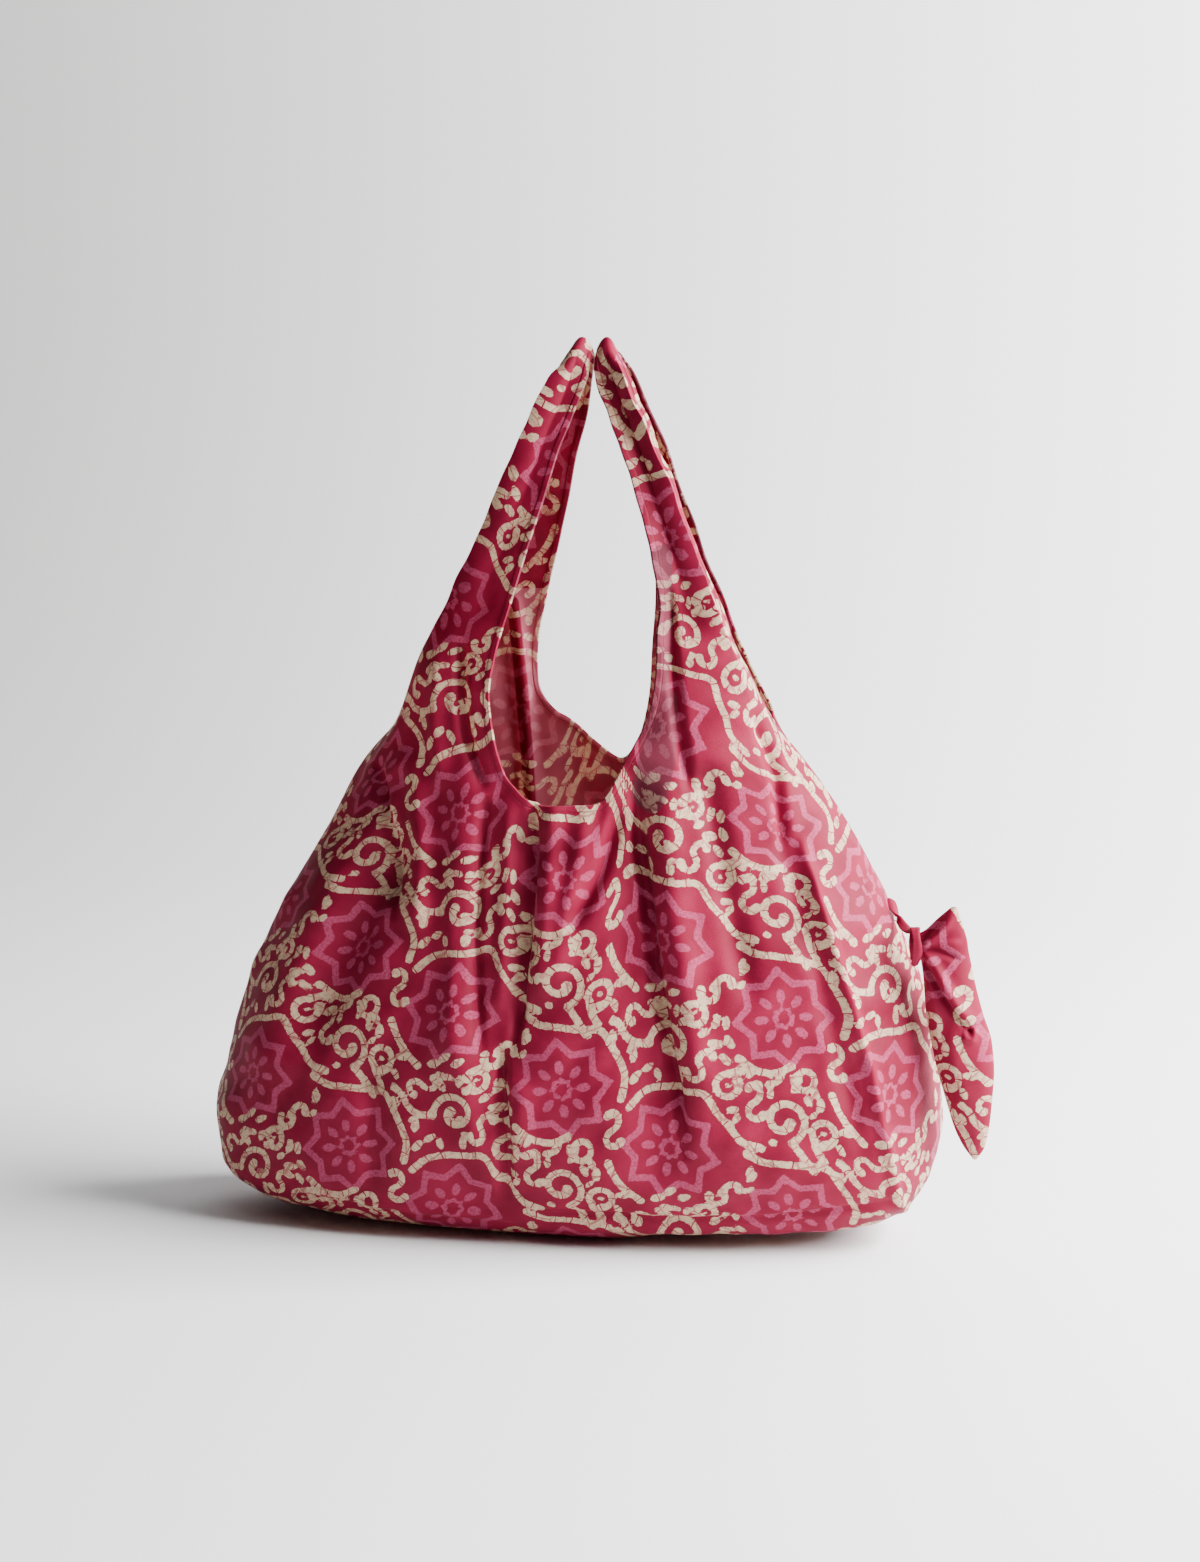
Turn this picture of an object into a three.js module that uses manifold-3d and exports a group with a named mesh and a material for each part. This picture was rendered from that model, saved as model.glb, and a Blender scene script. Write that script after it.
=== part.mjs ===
// A soft cloth shopping bag that stands open on its base. Two sewn panels form the body, the base
// and two handle loops, and a small gathered pouch hangs from the right side seam by a cloth tie.
// Millimetres. X runs to the bag's right, Y to its back, Z up. The origin is on the base.

import * as THREE from 'three';
import { mergeVertices } from 'three/addons/utils/BufferGeometryUtils.js';
import Module from 'manifold-3d';

// Driving dimensions
const CLOTH = 1.4;
const SEAM_GAP = 0.34;
const SEAM_BEHIND_MIDDLE = 10;
const NOTCH_HEIGHT = 378;
const NECK_CORNERS = {
  front: { left: -0.19, right: 0.16 },
  back: { left: -0.17, right: 0.11 },
};

// Grid of each panel
const BASE_RINGS = [0.3, 0.62, 0.86, 1];
const WALL_ROWS = 20;
const WALL_ROW_CLOSING = 1.3;
const STRAND_COLUMNS = 15;
const COLUMN_CLOSING = 1.25;
const NECK_COLUMNS = 9;
const STRAND_ROWS = 20;
const SMOOTHING = { passes: 8, reach: 42, share: 0.5 };

// Level sections of the body: how far it reaches to each side of the middle, and how square it is,
// where 2 is an ellipse.
const SECTIONS = [
  { height: 0, left: 212, right: 197, front: 58, back: 58, square: 2.3 },
  { height: 9, left: 262, right: 229, front: 82, back: 80, square: 2.5 },
  { height: 32, left: 284, right: 249, front: 100, back: 97, square: 2.7 },
  { height: 76, left: 290, right: 261, front: 111, back: 108, square: 2.5 },
  { height: 120, left: 279, right: 260, front: 109, back: 106, square: 2.3 },
  { height: 180, left: 262, right: 250, front: 101, back: 98, square: 2.1 },
  { height: 240, left: 233, right: 226, front: 89, back: 87, square: 2.0 },
  { height: 300, left: 196, right: 196, front: 77, back: 76, square: 1.9 },
  { height: 345, left: 173, right: 166, front: 69, back: 68, square: 1.9 },
  { height: 385, left: 133, right: 132, front: 61, back: 61, square: 1.9 },
];

// How far the underside is lifted off the surface along the bag. It is zero where the bag rests.
const FOOT_LIFTS = [
  { sideways: -245, lift: 3 },
  { sideways: -150, lift: 0 },
  { sideways: 20, lift: 0 },
  { sideways: 80, lift: 6 },
  { sideways: 150, lift: 8 },
  { sideways: 235, lift: 8 },
];
const FOOT_LIFT_ENDS = 90;

// Height of each panel's top edge, from the left seam at -1 to the right seam at 1.
const TOP_EDGES = {
  front: [
    { across: -1, height: NOTCH_HEIGHT },
    { across: -0.6, height: 360 },
    { across: -0.19, height: 344 },
    { across: -0.09, height: 325 },
    { across: 0.08, height: 327 },
    { across: 0.16, height: 358 },
    { across: 0.6, height: 366 },
    { across: 1, height: NOTCH_HEIGHT },
  ],
  back: [
    { across: -1, height: NOTCH_HEIGHT },
    { across: -0.6, height: 374 },
    { across: -0.17, height: 375 },
    { across: -0.02, height: 351 },
    { across: 0.05, height: 338 },
    { across: 0.11, height: 358 },
    { across: 0.6, height: 370 },
    { across: 1, height: NOTCH_HEIGHT },
  ],
};

// Stations up the four strands of the handle loops. A depth is the distance from the bag's middle
// plane, of the armhole edge or the neckline edge. The bulge is how far the cloth curls outwards
// between its edges, and lean turns that way from level to straight up.
const STRAND_LEVELS = [
  { height: 395, armholeDepth: 12, necklineDepth: 61, bulge: 15, lean: 0 },
  { height: 430, armholeDepth: 18, necklineDepth: 57, bulge: 14, lean: 0 },
  { height: 470, armholeDepth: 22, necklineDepth: 49, bulge: 13, lean: 0 },
  { height: 507, armholeDepth: 22, necklineDepth: 42, bulge: 12, lean: 0 },
  { height: 544, armholeDepth: 20, necklineDepth: 34, bulge: 11, lean: 0 },
  { height: 580, armholeDepth: 17, necklineDepth: 26, bulge: 10, lean: 0 },
  { height: 614, armholeDepth: 13, necklineDepth: 17, bulge: 9, lean: 5 },
  { height: 636, armholeDepth: 9, necklineDepth: 10, bulge: 9, lean: 25 },
  { height: 645, armholeDepth: 4, necklineDepth: 4, bulge: 9, lean: 60 },
  { height: 648, armholeDepth: 0, necklineDepth: 0, bulge: 9, lean: 90 },
];

// Where each strand's two edges are sideways, at the same stations.
const STRAND_EDGES = {
  front_left: {
    armhole: [-130, -113, -94, -77, -61, -46, -31, -20, -15, -14],
    neckline: [-63, -59, -48, -38, -27, -18, -8, -2, 0, 0.5],
  },
  front_right: {
    armhole: [130, 115, 98, 83, 68, 54, 39, 27, 22, 20],
    neckline: [57, 60, 60, 53, 41, 29, 17, 8, 5, 4],
  },
  back_left: {
    armhole: [-128, -111, -91, -74, -59, -45, -30, -20, -15, -14],
    neckline: [-53, -51, -42, -32, -22, -13, -5, -1, 0, 0.5],
  },
  back_right: {
    armhole: [128, 112, 94, 79, 65, 52, 38, 27, 22, 20],
    neckline: [35, 37, 41, 41, 36, 27, 16, 8, 5, 4],
  },
};
const ROOT_BLEND = 0.45;
const ROOT_HEIGHT = 358;

// Main folds of each panel, from one end to the other in the panel's own face. A rise above zero is
// a ridge and one below zero is a trough.
const FOLDS = {
  front: [
    { fromX: -94, fromZ: 310, toX: -84, toZ: 180, width: 17, rise: -7 },
    { fromX: -38, fromZ: 310, toX: -48, toZ: 140, width: 17, rise: -8 },
    { fromX: -66, fromZ: 120, toX: -58, toZ: 30, width: 18, rise: -9 },
    { fromX: 46, fromZ: 330, toX: 74, toZ: 60, width: 18, rise: -10 },
    { fromX: 168, fromZ: 285, toX: 214, toZ: 120, width: 16, rise: 6 },
    { fromX: 214, fromZ: 120, toX: 228, toZ: 25, width: 18, rise: 8 },
  ],
  back: [
    { fromX: -45, fromZ: 325, toX: -62, toZ: 140, width: 16, rise: -8 },
    { fromX: 60, fromZ: 310, toX: 92, toZ: 100, width: 16, rise: -8 },
    { fromX: 10, fromZ: 290, toX: 15, toZ: 60, width: 16, rise: 6 },
    { fromX: -150, fromZ: 270, toX: -205, toZ: 80, width: 16, rise: -7 },
    { fromX: 150, fromZ: 260, toX: 190, toZ: 60, width: 16, rise: 7 },
  ],
};
const SEAM_FADE = 22;
const FOOT_FADE = 14;
const FOLD_END = 0.2;

// The pouch hangs beside the right seam as a puffed, flattened shape with a tip at each end.
// Level sections from its lower tip to its upper tip, in the bag's face.
const POUCH_DEPTH = -28;
const POUCH_SECTIONS = [
  { height: 69, left: 284, right: 293, thick: 3 },
  { height: 78, left: 279, right: 296, thick: 9 },
  { height: 92, left: 273, right: 299, thick: 14 },
  { height: 114, left: 267, right: 301, thick: 20 },
  { height: 134, left: 261, right: 302, thick: 23 },
  { height: 156, left: 256, right: 300, thick: 24 },
  { height: 178, left: 252, right: 293, thick: 23 },
  { height: 200, left: 250, right: 287, thick: 20 },
  { height: 214, left: 248, right: 284, thick: 16 },
  { height: 223, left: 241, right: 282, thick: 13 },
  { height: 230, left: 241, right: 281, thick: 12 },
  { height: 237, left: 251, right: 279, thick: 12 },
  { height: 246, left: 260, right: 276, thick: 9 },
  { height: 254, left: 269, right: 273, thick: 3 },
];
const POUCH_ROWS = 26;
const POUCH_SIDES = 20;
const POUCH_EDGE = 1.35;
const POUCH_CREASE = { fromX: 245, fromZ: 224, toX: 282, toZ: 150, width: 6, rise: -4 };

// The tie runs from the seam to a ring round the pouch's gathered corner.
const TIE_WIDTH = 6;
const TIE_CLEARANCE = 0.4;
const TIE_START_HEIGHT = 250;
const TIE_RING = { x: 243.6, z: 226, halfHeight: 9.7, halfThick: 5.1, along: 3.2, wall: 1.8 };
const TIE_RING_SIDES = 24;
const TIE_STEPS = 8;

const CRIMSON = { color: 0xa83a5a, roughness: 0.55, metalness: 0 };

// Cubic tangents that never overshoot the table.
function steadySlopes(at, values) {
  const slopes = values.map(() => 0);
  const steps = values.slice(1).map((value, i) => (value - values[i]) / (at[i + 1] - at[i]));
  for (let i = 1; i < values.length - 1; i += 1) {
    const before = steps[i - 1];
    const after = steps[i];
    slopes[i] = before * after > 0 ? (2 * before * after) / (before + after) : 0;
  }
  slopes[0] = steps[0];
  slopes[values.length - 1] = steps[steps.length - 1];
  return slopes;
}

// A smooth curve through a table's column.
function curveThrough(at, values) {
  const slopes = steadySlopes(at, values);
  return (where) => {
    const place = THREE.MathUtils.clamp(where, at[0], at[at.length - 1]);
    let i = 0;
    while (i < at.length - 2 && place > at[i + 1]) i += 1;
    const span = at[i + 1] - at[i];
    const u = (place - at[i]) / span;
    const rest = 1 - u;
    return (
      values[i] * (1 + 2 * u) * rest * rest +
      slopes[i] * span * u * rest * rest +
      values[i + 1] * u * u * (3 - 2 * u) -
      slopes[i + 1] * span * u * u * rest
    );
  };
}

function column(rows, along, name) {
  return curveThrough(rows.map((row) => row[along]), rows.map((row) => row[name]));
}

const reach = {
  left: column(SECTIONS, 'height', 'left'),
  right: column(SECTIONS, 'height', 'right'),
  front: column(SECTIONS, 'height', 'front'),
  back: column(SECTIONS, 'height', 'back'),
};
const squareness = column(SECTIONS, 'height', 'square');
const footLift = column(FOOT_LIFTS, 'sideways', 'lift');
const sideSign = { front: -1, back: 1 };

// Where a column of a strand starts on the wall, from its outer edge at 0 to its inner edge at 1.
function rootAcross(panel, side, q) {
  const corner = NECK_CORNERS[panel][side];
  const seam = side === 'left' ? -1 : 1;
  return corner + (seam - corner) * (1 - q) ** COLUMN_CLOSING;
}

// A point of the body's wall: across runs from the left seam at -1 to the right seam at 1.
function wallPoint(panel, across, height, shrink = 1) {
  const power = squareness(height);
  const angle = (across * Math.PI) / 2;
  const sideways = Math.abs(Math.sin(angle));
  const forwards = Math.cos(angle);
  const radius = (sideways ** power + forwards ** power) ** (-1 / power);
  const half = across < 0 ? -reach.left(height) : reach.right(height);
  const x = half * sideways * radius * shrink;
  const y = sideSign[panel] * reach[panel](height) * forwards * radius * shrink;
  const lifted = footLift(x) * (1 - THREE.MathUtils.smoothstep(height, 0, FOOT_LIFT_ENDS));
  return new THREE.Vector3(x, y + seamDepth(height), height + lifted);
}

// The side seams lie a little behind the middle at the base and reach the middle at the notch.
function seamDepth(height) {
  return SEAM_BEHIND_MIDDLE * (1 - THREE.MathUtils.smoothstep(height, 0, NOTCH_HEIGHT));
}

// The strand from its root on the wall to the top of its loop, as a function of how far up and
// how far from the outer edge to the inner edge.
function strandSurface(panel, side) {
  const edges = STRAND_EDGES[`${panel}_${side}`];
  const top = column(TOP_EDGES[panel], 'across', 'height');
  const rootPoint = (q) => {
    const across = rootAcross(panel, side, q);
    return wallPoint(panel, across, top(across));
  };
  const outer = [rootPoint(0)];
  const inner = [rootPoint(1)];
  STRAND_LEVELS.forEach(({ height, armholeDepth, necklineDepth }, i) => {
    outer.push(new THREE.Vector3(edges.armhole[i], sideSign[panel] * armholeDepth, height));
    inner.push(new THREE.Vector3(edges.neckline[i], sideSign[panel] * necklineDepth, height));
  });
  const middle = outer.map((point, i) => point.clone().lerp(inner[i], 0.5));
  const knots = [0];
  middle.slice(1).forEach((point, i) => knots.push(knots[i] + point.distanceTo(middle[i])));
  const length = knots[knots.length - 1];
  const along = knots.map((knot) => knot / length);
  const curves = (points) => ['x', 'y', 'z'].map((axis) => curveThrough(along, points.map((p) => p[axis])));
  const outerCurves = curves(outer);
  const innerCurves = curves(inner);
  const bulges = STRAND_LEVELS.map((level) => level.bulge);
  const bulge = curveThrough(along, [bulges[0], ...bulges]);
  const lean = curveThrough(along, [0, ...STRAND_LEVELS.map((level) => level.lean)]);
  return (up, q) => {
    const out = new THREE.Vector3(...outerCurves.map((curve) => curve(up)));
    const into = new THREE.Vector3(...innerCurves.map((curve) => curve(up)));
    const chord = into.clone().sub(out).setZ(0).normalize();
    const turn = (side === 'left' ? 1 : -1) * (panel === 'front' ? 1 : -1);
    const level = new THREE.Vector3(chord.y, -chord.x, 0).multiplyScalar(turn);
    const tilt = THREE.MathUtils.degToRad(lean(up));
    const outwards = level.multiplyScalar(Math.cos(tilt)).setZ(Math.sin(tilt));
    const curl = THREE.MathUtils.smoothstep(up, 0, ROOT_BLEND);
    const rootBend = rootPoint(q).sub(rootPoint(0).lerp(rootPoint(1), q));
    const arch = 1 - (2 * q - 1) ** 2;
    return out
      .lerp(into, q)
      .addScaledVector(rootBend, 1 - curl)
      .addScaledVector(outwards, bulge(up) * arch * curl);
  };
}

// How far one fold lifts the cloth at a place in the bag's face.
function creaseRise(fold, x, z) {
  const dx = fold.toX - fold.fromX;
  const dz = fold.toZ - fold.fromZ;
  const length = Math.hypot(dx, dz);
  const along = ((x - fold.fromX) * dx + (z - fold.fromZ) * dz) / length ** 2;
  const aside = ((x - fold.fromX) * dz - (z - fold.fromZ) * dx) / length;
  const start = THREE.MathUtils.smoothstep(along, -FOLD_END, FOLD_END);
  const end = 1 - THREE.MathUtils.smoothstep(along, 1 - FOLD_END, 1 + FOLD_END);
  return fold.rise * Math.exp(-((aside / fold.width) ** 2)) * start * end;
}

function foldRise(panel, x, z) {
  return FOLDS[panel].reduce((sum, fold) => sum + creaseRise(fold, x, z), 0);
}

// One panel as a sheet: its points, its triangles and which points lie on a seam.
function panelSheet(panel) {
  const points = [];
  const faces = [];
  const onSeam = [];
  const { left, right } = NECK_CORNERS[panel];
  const shares = (columns) => Array.from({ length: columns + 1 }, (_, j) => j / columns);
  const across = [
    ...shares(STRAND_COLUMNS).map((q) => rootAcross(panel, 'left', q)),
    ...shares(NECK_COLUMNS).slice(1, -1).map((q) => THREE.MathUtils.lerp(left, right, q)),
    ...shares(STRAND_COLUMNS).map((q) => rootAcross(panel, 'right', 1 - q)),
  ];
  const lastColumn = across.length - 1;
  const add = (point, seam) => {
    points.push(point);
    onSeam.push(seam);
    return points.length - 1;
  };
  const face = (a, b, c) => faces.push(panel === 'front' ? [a, b, c] : [a, c, b]);
  const join = (lower, upper) => {
    for (let j = 0; j < lower.length - 1; j += 1) {
      face(lower[j], lower[j + 1], upper[j + 1]);
      face(lower[j], upper[j + 1], upper[j]);
    }
  };

  const pole = add(new THREE.Vector3(0, seamDepth(0), 0), true);
  const rows = BASE_RINGS.map((shrink) =>
    across.map((s, j) => add(wallPoint(panel, s, 0, shrink), j === 0 || j === lastColumn)),
  );
  for (let j = 0; j < lastColumn; j += 1) face(pole, rows[0][j + 1], rows[0][j]);

  const top = column(TOP_EDGES[panel], 'across', 'height');
  for (let i = 1; i <= WALL_ROWS; i += 1) {
    const share = (i / WALL_ROWS) ** WALL_ROW_CLOSING;
    rows.push(
      across.map((s, j) => add(wallPoint(panel, s, share * top(s)), j === 0 || j === lastColumn)),
    );
  }
  for (let i = 0; i < rows.length - 1; i += 1) join(rows[i], rows[i + 1]);

  const root = rows[rows.length - 1];
  ['left', 'right'].forEach((side) => {
    const surface = strandSurface(panel, side);
    let lower = side === 'left' ? root.slice(0, STRAND_COLUMNS + 1) : root.slice(-STRAND_COLUMNS - 1);
    for (let i = 1; i <= STRAND_ROWS; i += 1) {
      const upper = lower.map((_, j) => {
        const q = side === 'left' ? j / STRAND_COLUMNS : 1 - j / STRAND_COLUMNS;
        return add(surface(i / STRAND_ROWS, q), i === STRAND_ROWS);
      });
      join(lower, upper);
      lower = upper;
    }
  });
  return { panel, points, faces, onSeam };
}

const placeKey = (point) => point.toArray().map((value) => Math.round(value * 100)).join();

// Outward direction at every point, shared where two sheets meet.
function outwardAt(sheets) {
  const sums = new Map();
  sheets.forEach(({ points, faces }) => {
    faces.forEach((corners) => {
      const [a, b, c] = corners.map((k) => points[k]);
      const normal = b.clone().sub(a).cross(c.clone().sub(a));
      corners.forEach((k) => {
        const key = placeKey(points[k]);
        if (!sums.has(key)) sums.set(key, new THREE.Vector3());
        sums.get(key).add(normal);
      });
    });
  });
  return (point) => sums.get(placeKey(point)).clone().normalize();
}

// Lifts the folds out of the sheets, fading towards the seams and the foot.
function raiseFolds(sheets) {
  const outward = outwardAt(sheets);
  sheets.forEach(({ panel, points }) => {
    const moved = points.map((point) => {
      const fromSeam = Math.abs(point.y - seamDepth(point.z));
      const fade =
        THREE.MathUtils.smoothstep(fromSeam, 0, SEAM_FADE) *
        THREE.MathUtils.smoothstep(point.z, 1, FOOT_FADE);
      return point.clone().addScaledVector(outward(point), fade * foldRise(panel, point.x, point.z));
    });
    moved.forEach((point, k) => points[k].copy(point));
  });
}

// The edges that only one triangle has.
function freeEdges(faces) {
  const edges = new Map();
  faces.forEach(([a, b, c]) => {
    [[a, b], [b, c], [c, a]].forEach(([from, to]) => {
      if (edges.has(`${to},${from}`)) edges.delete(`${to},${from}`);
      else edges.set(`${from},${to}`, [from, to]);
    });
  });
  return [...edges.values()];
}

// Evens out the bend where the strands leave the wall.
function smoothRoots({ points, faces }) {
  const fixed = new Set(freeEdges(faces).flat());
  const beside = points.map(() => new Set());
  faces.forEach(([a, b, c]) => {
    beside[a].add(b).add(c);
    beside[b].add(a).add(c);
    beside[c].add(a).add(b);
  });
  for (let pass = 0; pass < SMOOTHING.passes; pass += 1) {
    const middles = beside.map((near) => {
      const sum = [...near].reduce((total, k) => total.add(points[k]), new THREE.Vector3());
      return sum.divideScalar(near.size);
    });
    points.forEach((point, k) => {
      const closeness = Math.exp(-(((point.z - ROOT_HEIGHT) / SMOOTHING.reach) ** 2));
      if (!fixed.has(k)) point.lerp(middles[k], SMOOTHING.share * closeness);
    });
  }
}

// A closed solid of the cloth's thickness inside the sheet's outer face.
function clothSolid({ panel, points, faces, onSeam }, outward) {
  const count = points.length;
  const inner = points.map((point) => point.clone().addScaledVector(outward(point), -CLOTH));
  const positions = [...points.map((point) => point.clone()), ...inner];
  positions.forEach((point, k) => {
    if (onSeam[k % count]) point.y += (sideSign[panel] * SEAM_GAP) / 2;
  });
  const index = faces.flatMap(([a, b, c]) => [a, b, c, a + count, c + count, b + count]);
  freeEdges(faces).forEach(([from, to]) => {
    index.push(to, from, from + count, to, from + count, to + count);
  });
  return closedGeometry(positions, index);
}

function clothMesh(name, geometry) {
  const mesh = new THREE.Mesh(geometry, new THREE.MeshStandardMaterial(CRIMSON));
  mesh.name = name;
  return mesh;
}

function closedGeometry(points, index) {
  const geometry = new THREE.BufferGeometry();
  const positions = points.flatMap((point) => point.toArray());
  geometry.setAttribute('position', new THREE.Float32BufferAttribute(positions, 3));
  geometry.setIndex(index);
  geometry.computeVertexNormals();
  return geometry;
}

// A closed body through rings of equal point counts. Each ring turns the same way, anticlockwise
// when it is seen from the last ring.
function ringBody(rings) {
  const sides = rings[0].length;
  const points = rings.flat();
  const index = [];
  for (let i = 0; i < rings.length - 1; i += 1) {
    for (let j = 0; j < sides; j += 1) {
      const a = i * sides + j;
      const b = i * sides + ((j + 1) % sides);
      index.push(a, b, b + sides, a, b + sides, a + sides);
    }
  }
  [rings[0], rings[rings.length - 1]].forEach((ring, end) => {
    const middle = points.length;
    const first = end === 0 ? 0 : (rings.length - 1) * sides;
    points.push(ring.reduce((sum, point) => sum.add(point), new THREE.Vector3()).divideScalar(sides));
    for (let j = 0; j < sides; j += 1) {
      const a = first + j;
      const b = first + ((j + 1) % sides);
      index.push(...(end === 0 ? [middle, b, a] : [middle, a, b]));
    }
  });
  return closedGeometry(points, index);
}

function pouchGeometry() {
  const at = (name) => column(POUCH_SECTIONS, 'height', name);
  const [left, right, thick] = [at('left'), at('right'), at('thick')];
  const bottom = POUCH_SECTIONS[0].height;
  const top = POUCH_SECTIONS[POUCH_SECTIONS.length - 1].height;
  const rings = Array.from({ length: POUCH_ROWS + 1 }, (_, i) => {
    const z = THREE.MathUtils.lerp(bottom, top, i / POUCH_ROWS);
    return Array.from({ length: POUCH_SIDES }, (__, j) => {
      const angle = (j / POUCH_SIDES) * 2 * Math.PI;
      const x = (left(z) + right(z)) / 2 + ((right(z) - left(z)) / 2) * Math.cos(angle);
      const puff = Math.sign(Math.sin(angle)) * Math.abs(Math.sin(angle)) ** POUCH_EDGE;
      const crease = creaseRise(POUCH_CREASE, x, z) * Math.max(0, -puff);
      return new THREE.Vector3(x, POUCH_DEPTH + (thick(z) / 2) * puff - crease, z);
    });
  });
  return ringBody(rings);
}

// The strip lies on the bag's side from the seam, then crosses to the ring.
function tieStrip() {
  const start = wallPoint('front', 1, TIE_START_HEIGHT);
  const beside = wallPoint('front', 1, TIE_START_HEIGHT - TIE_WIDTH);
  const slope = beside.clone().sub(start).normalize();
  const away = new THREE.Vector3(-slope.z, 0, slope.x);
  const first = start.clone().addScaledVector(away, TIE_CLEARANCE + CLOTH / 2);
  const last = new THREE.Vector3(
    TIE_RING.x,
    POUCH_DEPTH + TIE_RING.halfThick * 0.5,
    TIE_RING.z + TIE_RING.halfHeight + TIE_RING.wall / 2,
  );
  const path = new THREE.CatmullRomCurve3([
    first,
    first.clone().addScaledVector(slope, TIE_WIDTH).add(new THREE.Vector3(1, -5, 0)),
    first.clone().lerp(last, 0.65).addScaledVector(away, 2),
    last,
  ]);
  const rings = path.getPoints(TIE_STEPS).map((point, i) => {
    const forward = path.getTangent(i / TIE_STEPS);
    const wide = new THREE.Vector3().crossVectors(forward, away).normalize();
    const flat = new THREE.Vector3().crossVectors(wide, forward).normalize();
    const w = TIE_WIDTH / 2;
    const t = CLOTH / 2;
    return [[-w, t], [w, t], [w, -t], [-w, -t]].map(([side, out]) =>
      point.clone().addScaledVector(wide, side).addScaledVector(flat, out),
    );
  });
  return ringBody(rings);
}

function tieRing() {
  const { x, z, halfHeight, halfThick, along, wall } = TIE_RING;
  const ring = new THREE.Shape().absellipse(0, 0, halfThick + wall, halfHeight + wall, 0, 2 * Math.PI);
  ring.holes.push(new THREE.Path().absellipse(0, 0, halfThick, halfHeight, 0, 2 * Math.PI));
  const geometry = new THREE.ExtrudeGeometry(ring, {
    depth: along,
    bevelEnabled: false,
    curveSegments: TIE_RING_SIDES / 2,
  });
  geometry.rotateX(Math.PI / 2).rotateZ(Math.PI / 2).translate(x - along / 2, POUCH_DEPTH, z);
  return geometry;
}

const wasm = await Module();
wasm.setup();

function manifoldOf(geometry) {
  const bare = geometry.clone();
  bare.deleteAttribute('normal');
  bare.deleteAttribute('uv');
  const merged = mergeVertices(bare, 1e-4);
  return new wasm.Manifold(
    new wasm.Mesh({
      numProp: 3,
      vertProperties: merged.attributes.position.array,
      triVerts: new Uint32Array(merged.index.array),
    }),
  );
}

function joined(first, second) {
  const mesh = manifoldOf(first).add(manifoldOf(second)).getMesh();
  const geometry = new THREE.BufferGeometry();
  geometry.setAttribute('position', new THREE.Float32BufferAttribute(mesh.vertProperties, 3));
  geometry.setIndex([...mesh.triVerts]);
  geometry.computeVertexNormals();
  return geometry;
}

const bag = new THREE.Group();
const sheets = [panelSheet('front'), panelSheet('back')];
sheets.forEach(smoothRoots);
raiseFolds(sheets);
const outward = outwardAt(sheets);
sheets.forEach((sheet) => bag.add(clothMesh(`${sheet.panel}_panel`, clothSolid(sheet, outward))));
bag.add(clothMesh('pouch', pouchGeometry()));
bag.add(clothMesh('pouch_tie', joined(tieStrip(), tieRing())));

export default bag;
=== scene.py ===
import math

import bpy
import numpy as np
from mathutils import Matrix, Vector
from mathutils.kdtree import KDTree


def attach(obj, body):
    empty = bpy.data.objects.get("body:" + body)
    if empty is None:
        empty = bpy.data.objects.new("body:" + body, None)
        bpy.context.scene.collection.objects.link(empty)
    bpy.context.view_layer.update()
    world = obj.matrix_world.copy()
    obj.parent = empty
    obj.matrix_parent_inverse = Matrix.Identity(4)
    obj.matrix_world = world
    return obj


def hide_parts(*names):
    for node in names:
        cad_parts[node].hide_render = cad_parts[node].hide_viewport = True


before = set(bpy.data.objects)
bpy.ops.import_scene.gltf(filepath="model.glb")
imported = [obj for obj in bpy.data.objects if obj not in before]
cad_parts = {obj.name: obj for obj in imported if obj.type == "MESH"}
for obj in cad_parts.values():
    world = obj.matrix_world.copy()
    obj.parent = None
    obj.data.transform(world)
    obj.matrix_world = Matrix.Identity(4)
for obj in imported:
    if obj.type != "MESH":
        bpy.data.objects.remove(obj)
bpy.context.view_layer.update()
METRE = 0.001


# A soft printed shopping bag. Sizes are in millimetres in the part's own frame: X to the bag's
# right, Y to its back, Z up.


def table(names, *rows):
    """A table's columns by name."""
    return {name: np.array(values, float) for name, values in zip(names.split(), zip(*rows))}


def records(names, *rows):
    """A table's rows as dictionaries."""
    return [dict(zip(names.split(), row)) for row in rows]


def named(names, *rows):
    """A table's rows as dictionaries, by what stands in the first column."""
    return {row[0]: record for row, record in zip(rows, records(names, *rows))}


def steady_slopes(at, values):
    """Cubic tangents that never overshoot the table."""
    steps = np.diff(values, axis=0) / np.diff(at)[:, None]
    before, after = steps[:-1], steps[1:]
    turns = before * after <= 0
    middle = 2 * before * after / np.where(turns, 1, before + after)
    return np.vstack([steps[:1], np.where(turns, 0, middle), steps[-1:]])


def curve(at, values):
    """A smooth curve through a table's column, or through points."""
    at = np.asarray(at, float)
    knots = np.asarray(values, float).reshape(len(at), -1)
    slopes = steady_slopes(at, knots)

    def place(where):
        where = np.clip(np.asarray(where, float), at[0], at[-1])
        i = np.clip(np.searchsorted(at, where, side="right") - 1, 0, len(at) - 2)
        span = (at[i + 1] - at[i])[..., None]
        u = (where - at[i])[..., None] / span
        rest = 1 - u
        made = (
            knots[i] * (1 + 2 * u) * rest**2
            + slopes[i] * span * u * rest**2
            + knots[i + 1] * u**2 * (3 - 2 * u)
            - slopes[i + 1] * span * u**2 * rest
        )
        return made if np.ndim(values) > 1 else made[..., 0]

    return place


def curves(names, *rows):
    """A table's columns as smooth curves over its first one."""
    (_, along), *others = table(names, *rows).items()
    return {name: curve(along, values) for name, values in others}


def smoothstep(value, low, high):
    """0 under low, 1 over high, and smooth between them."""
    t = np.clip((value - low) / (high - low), 0, 1)
    return t * t * (3 - 2 * t)


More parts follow.
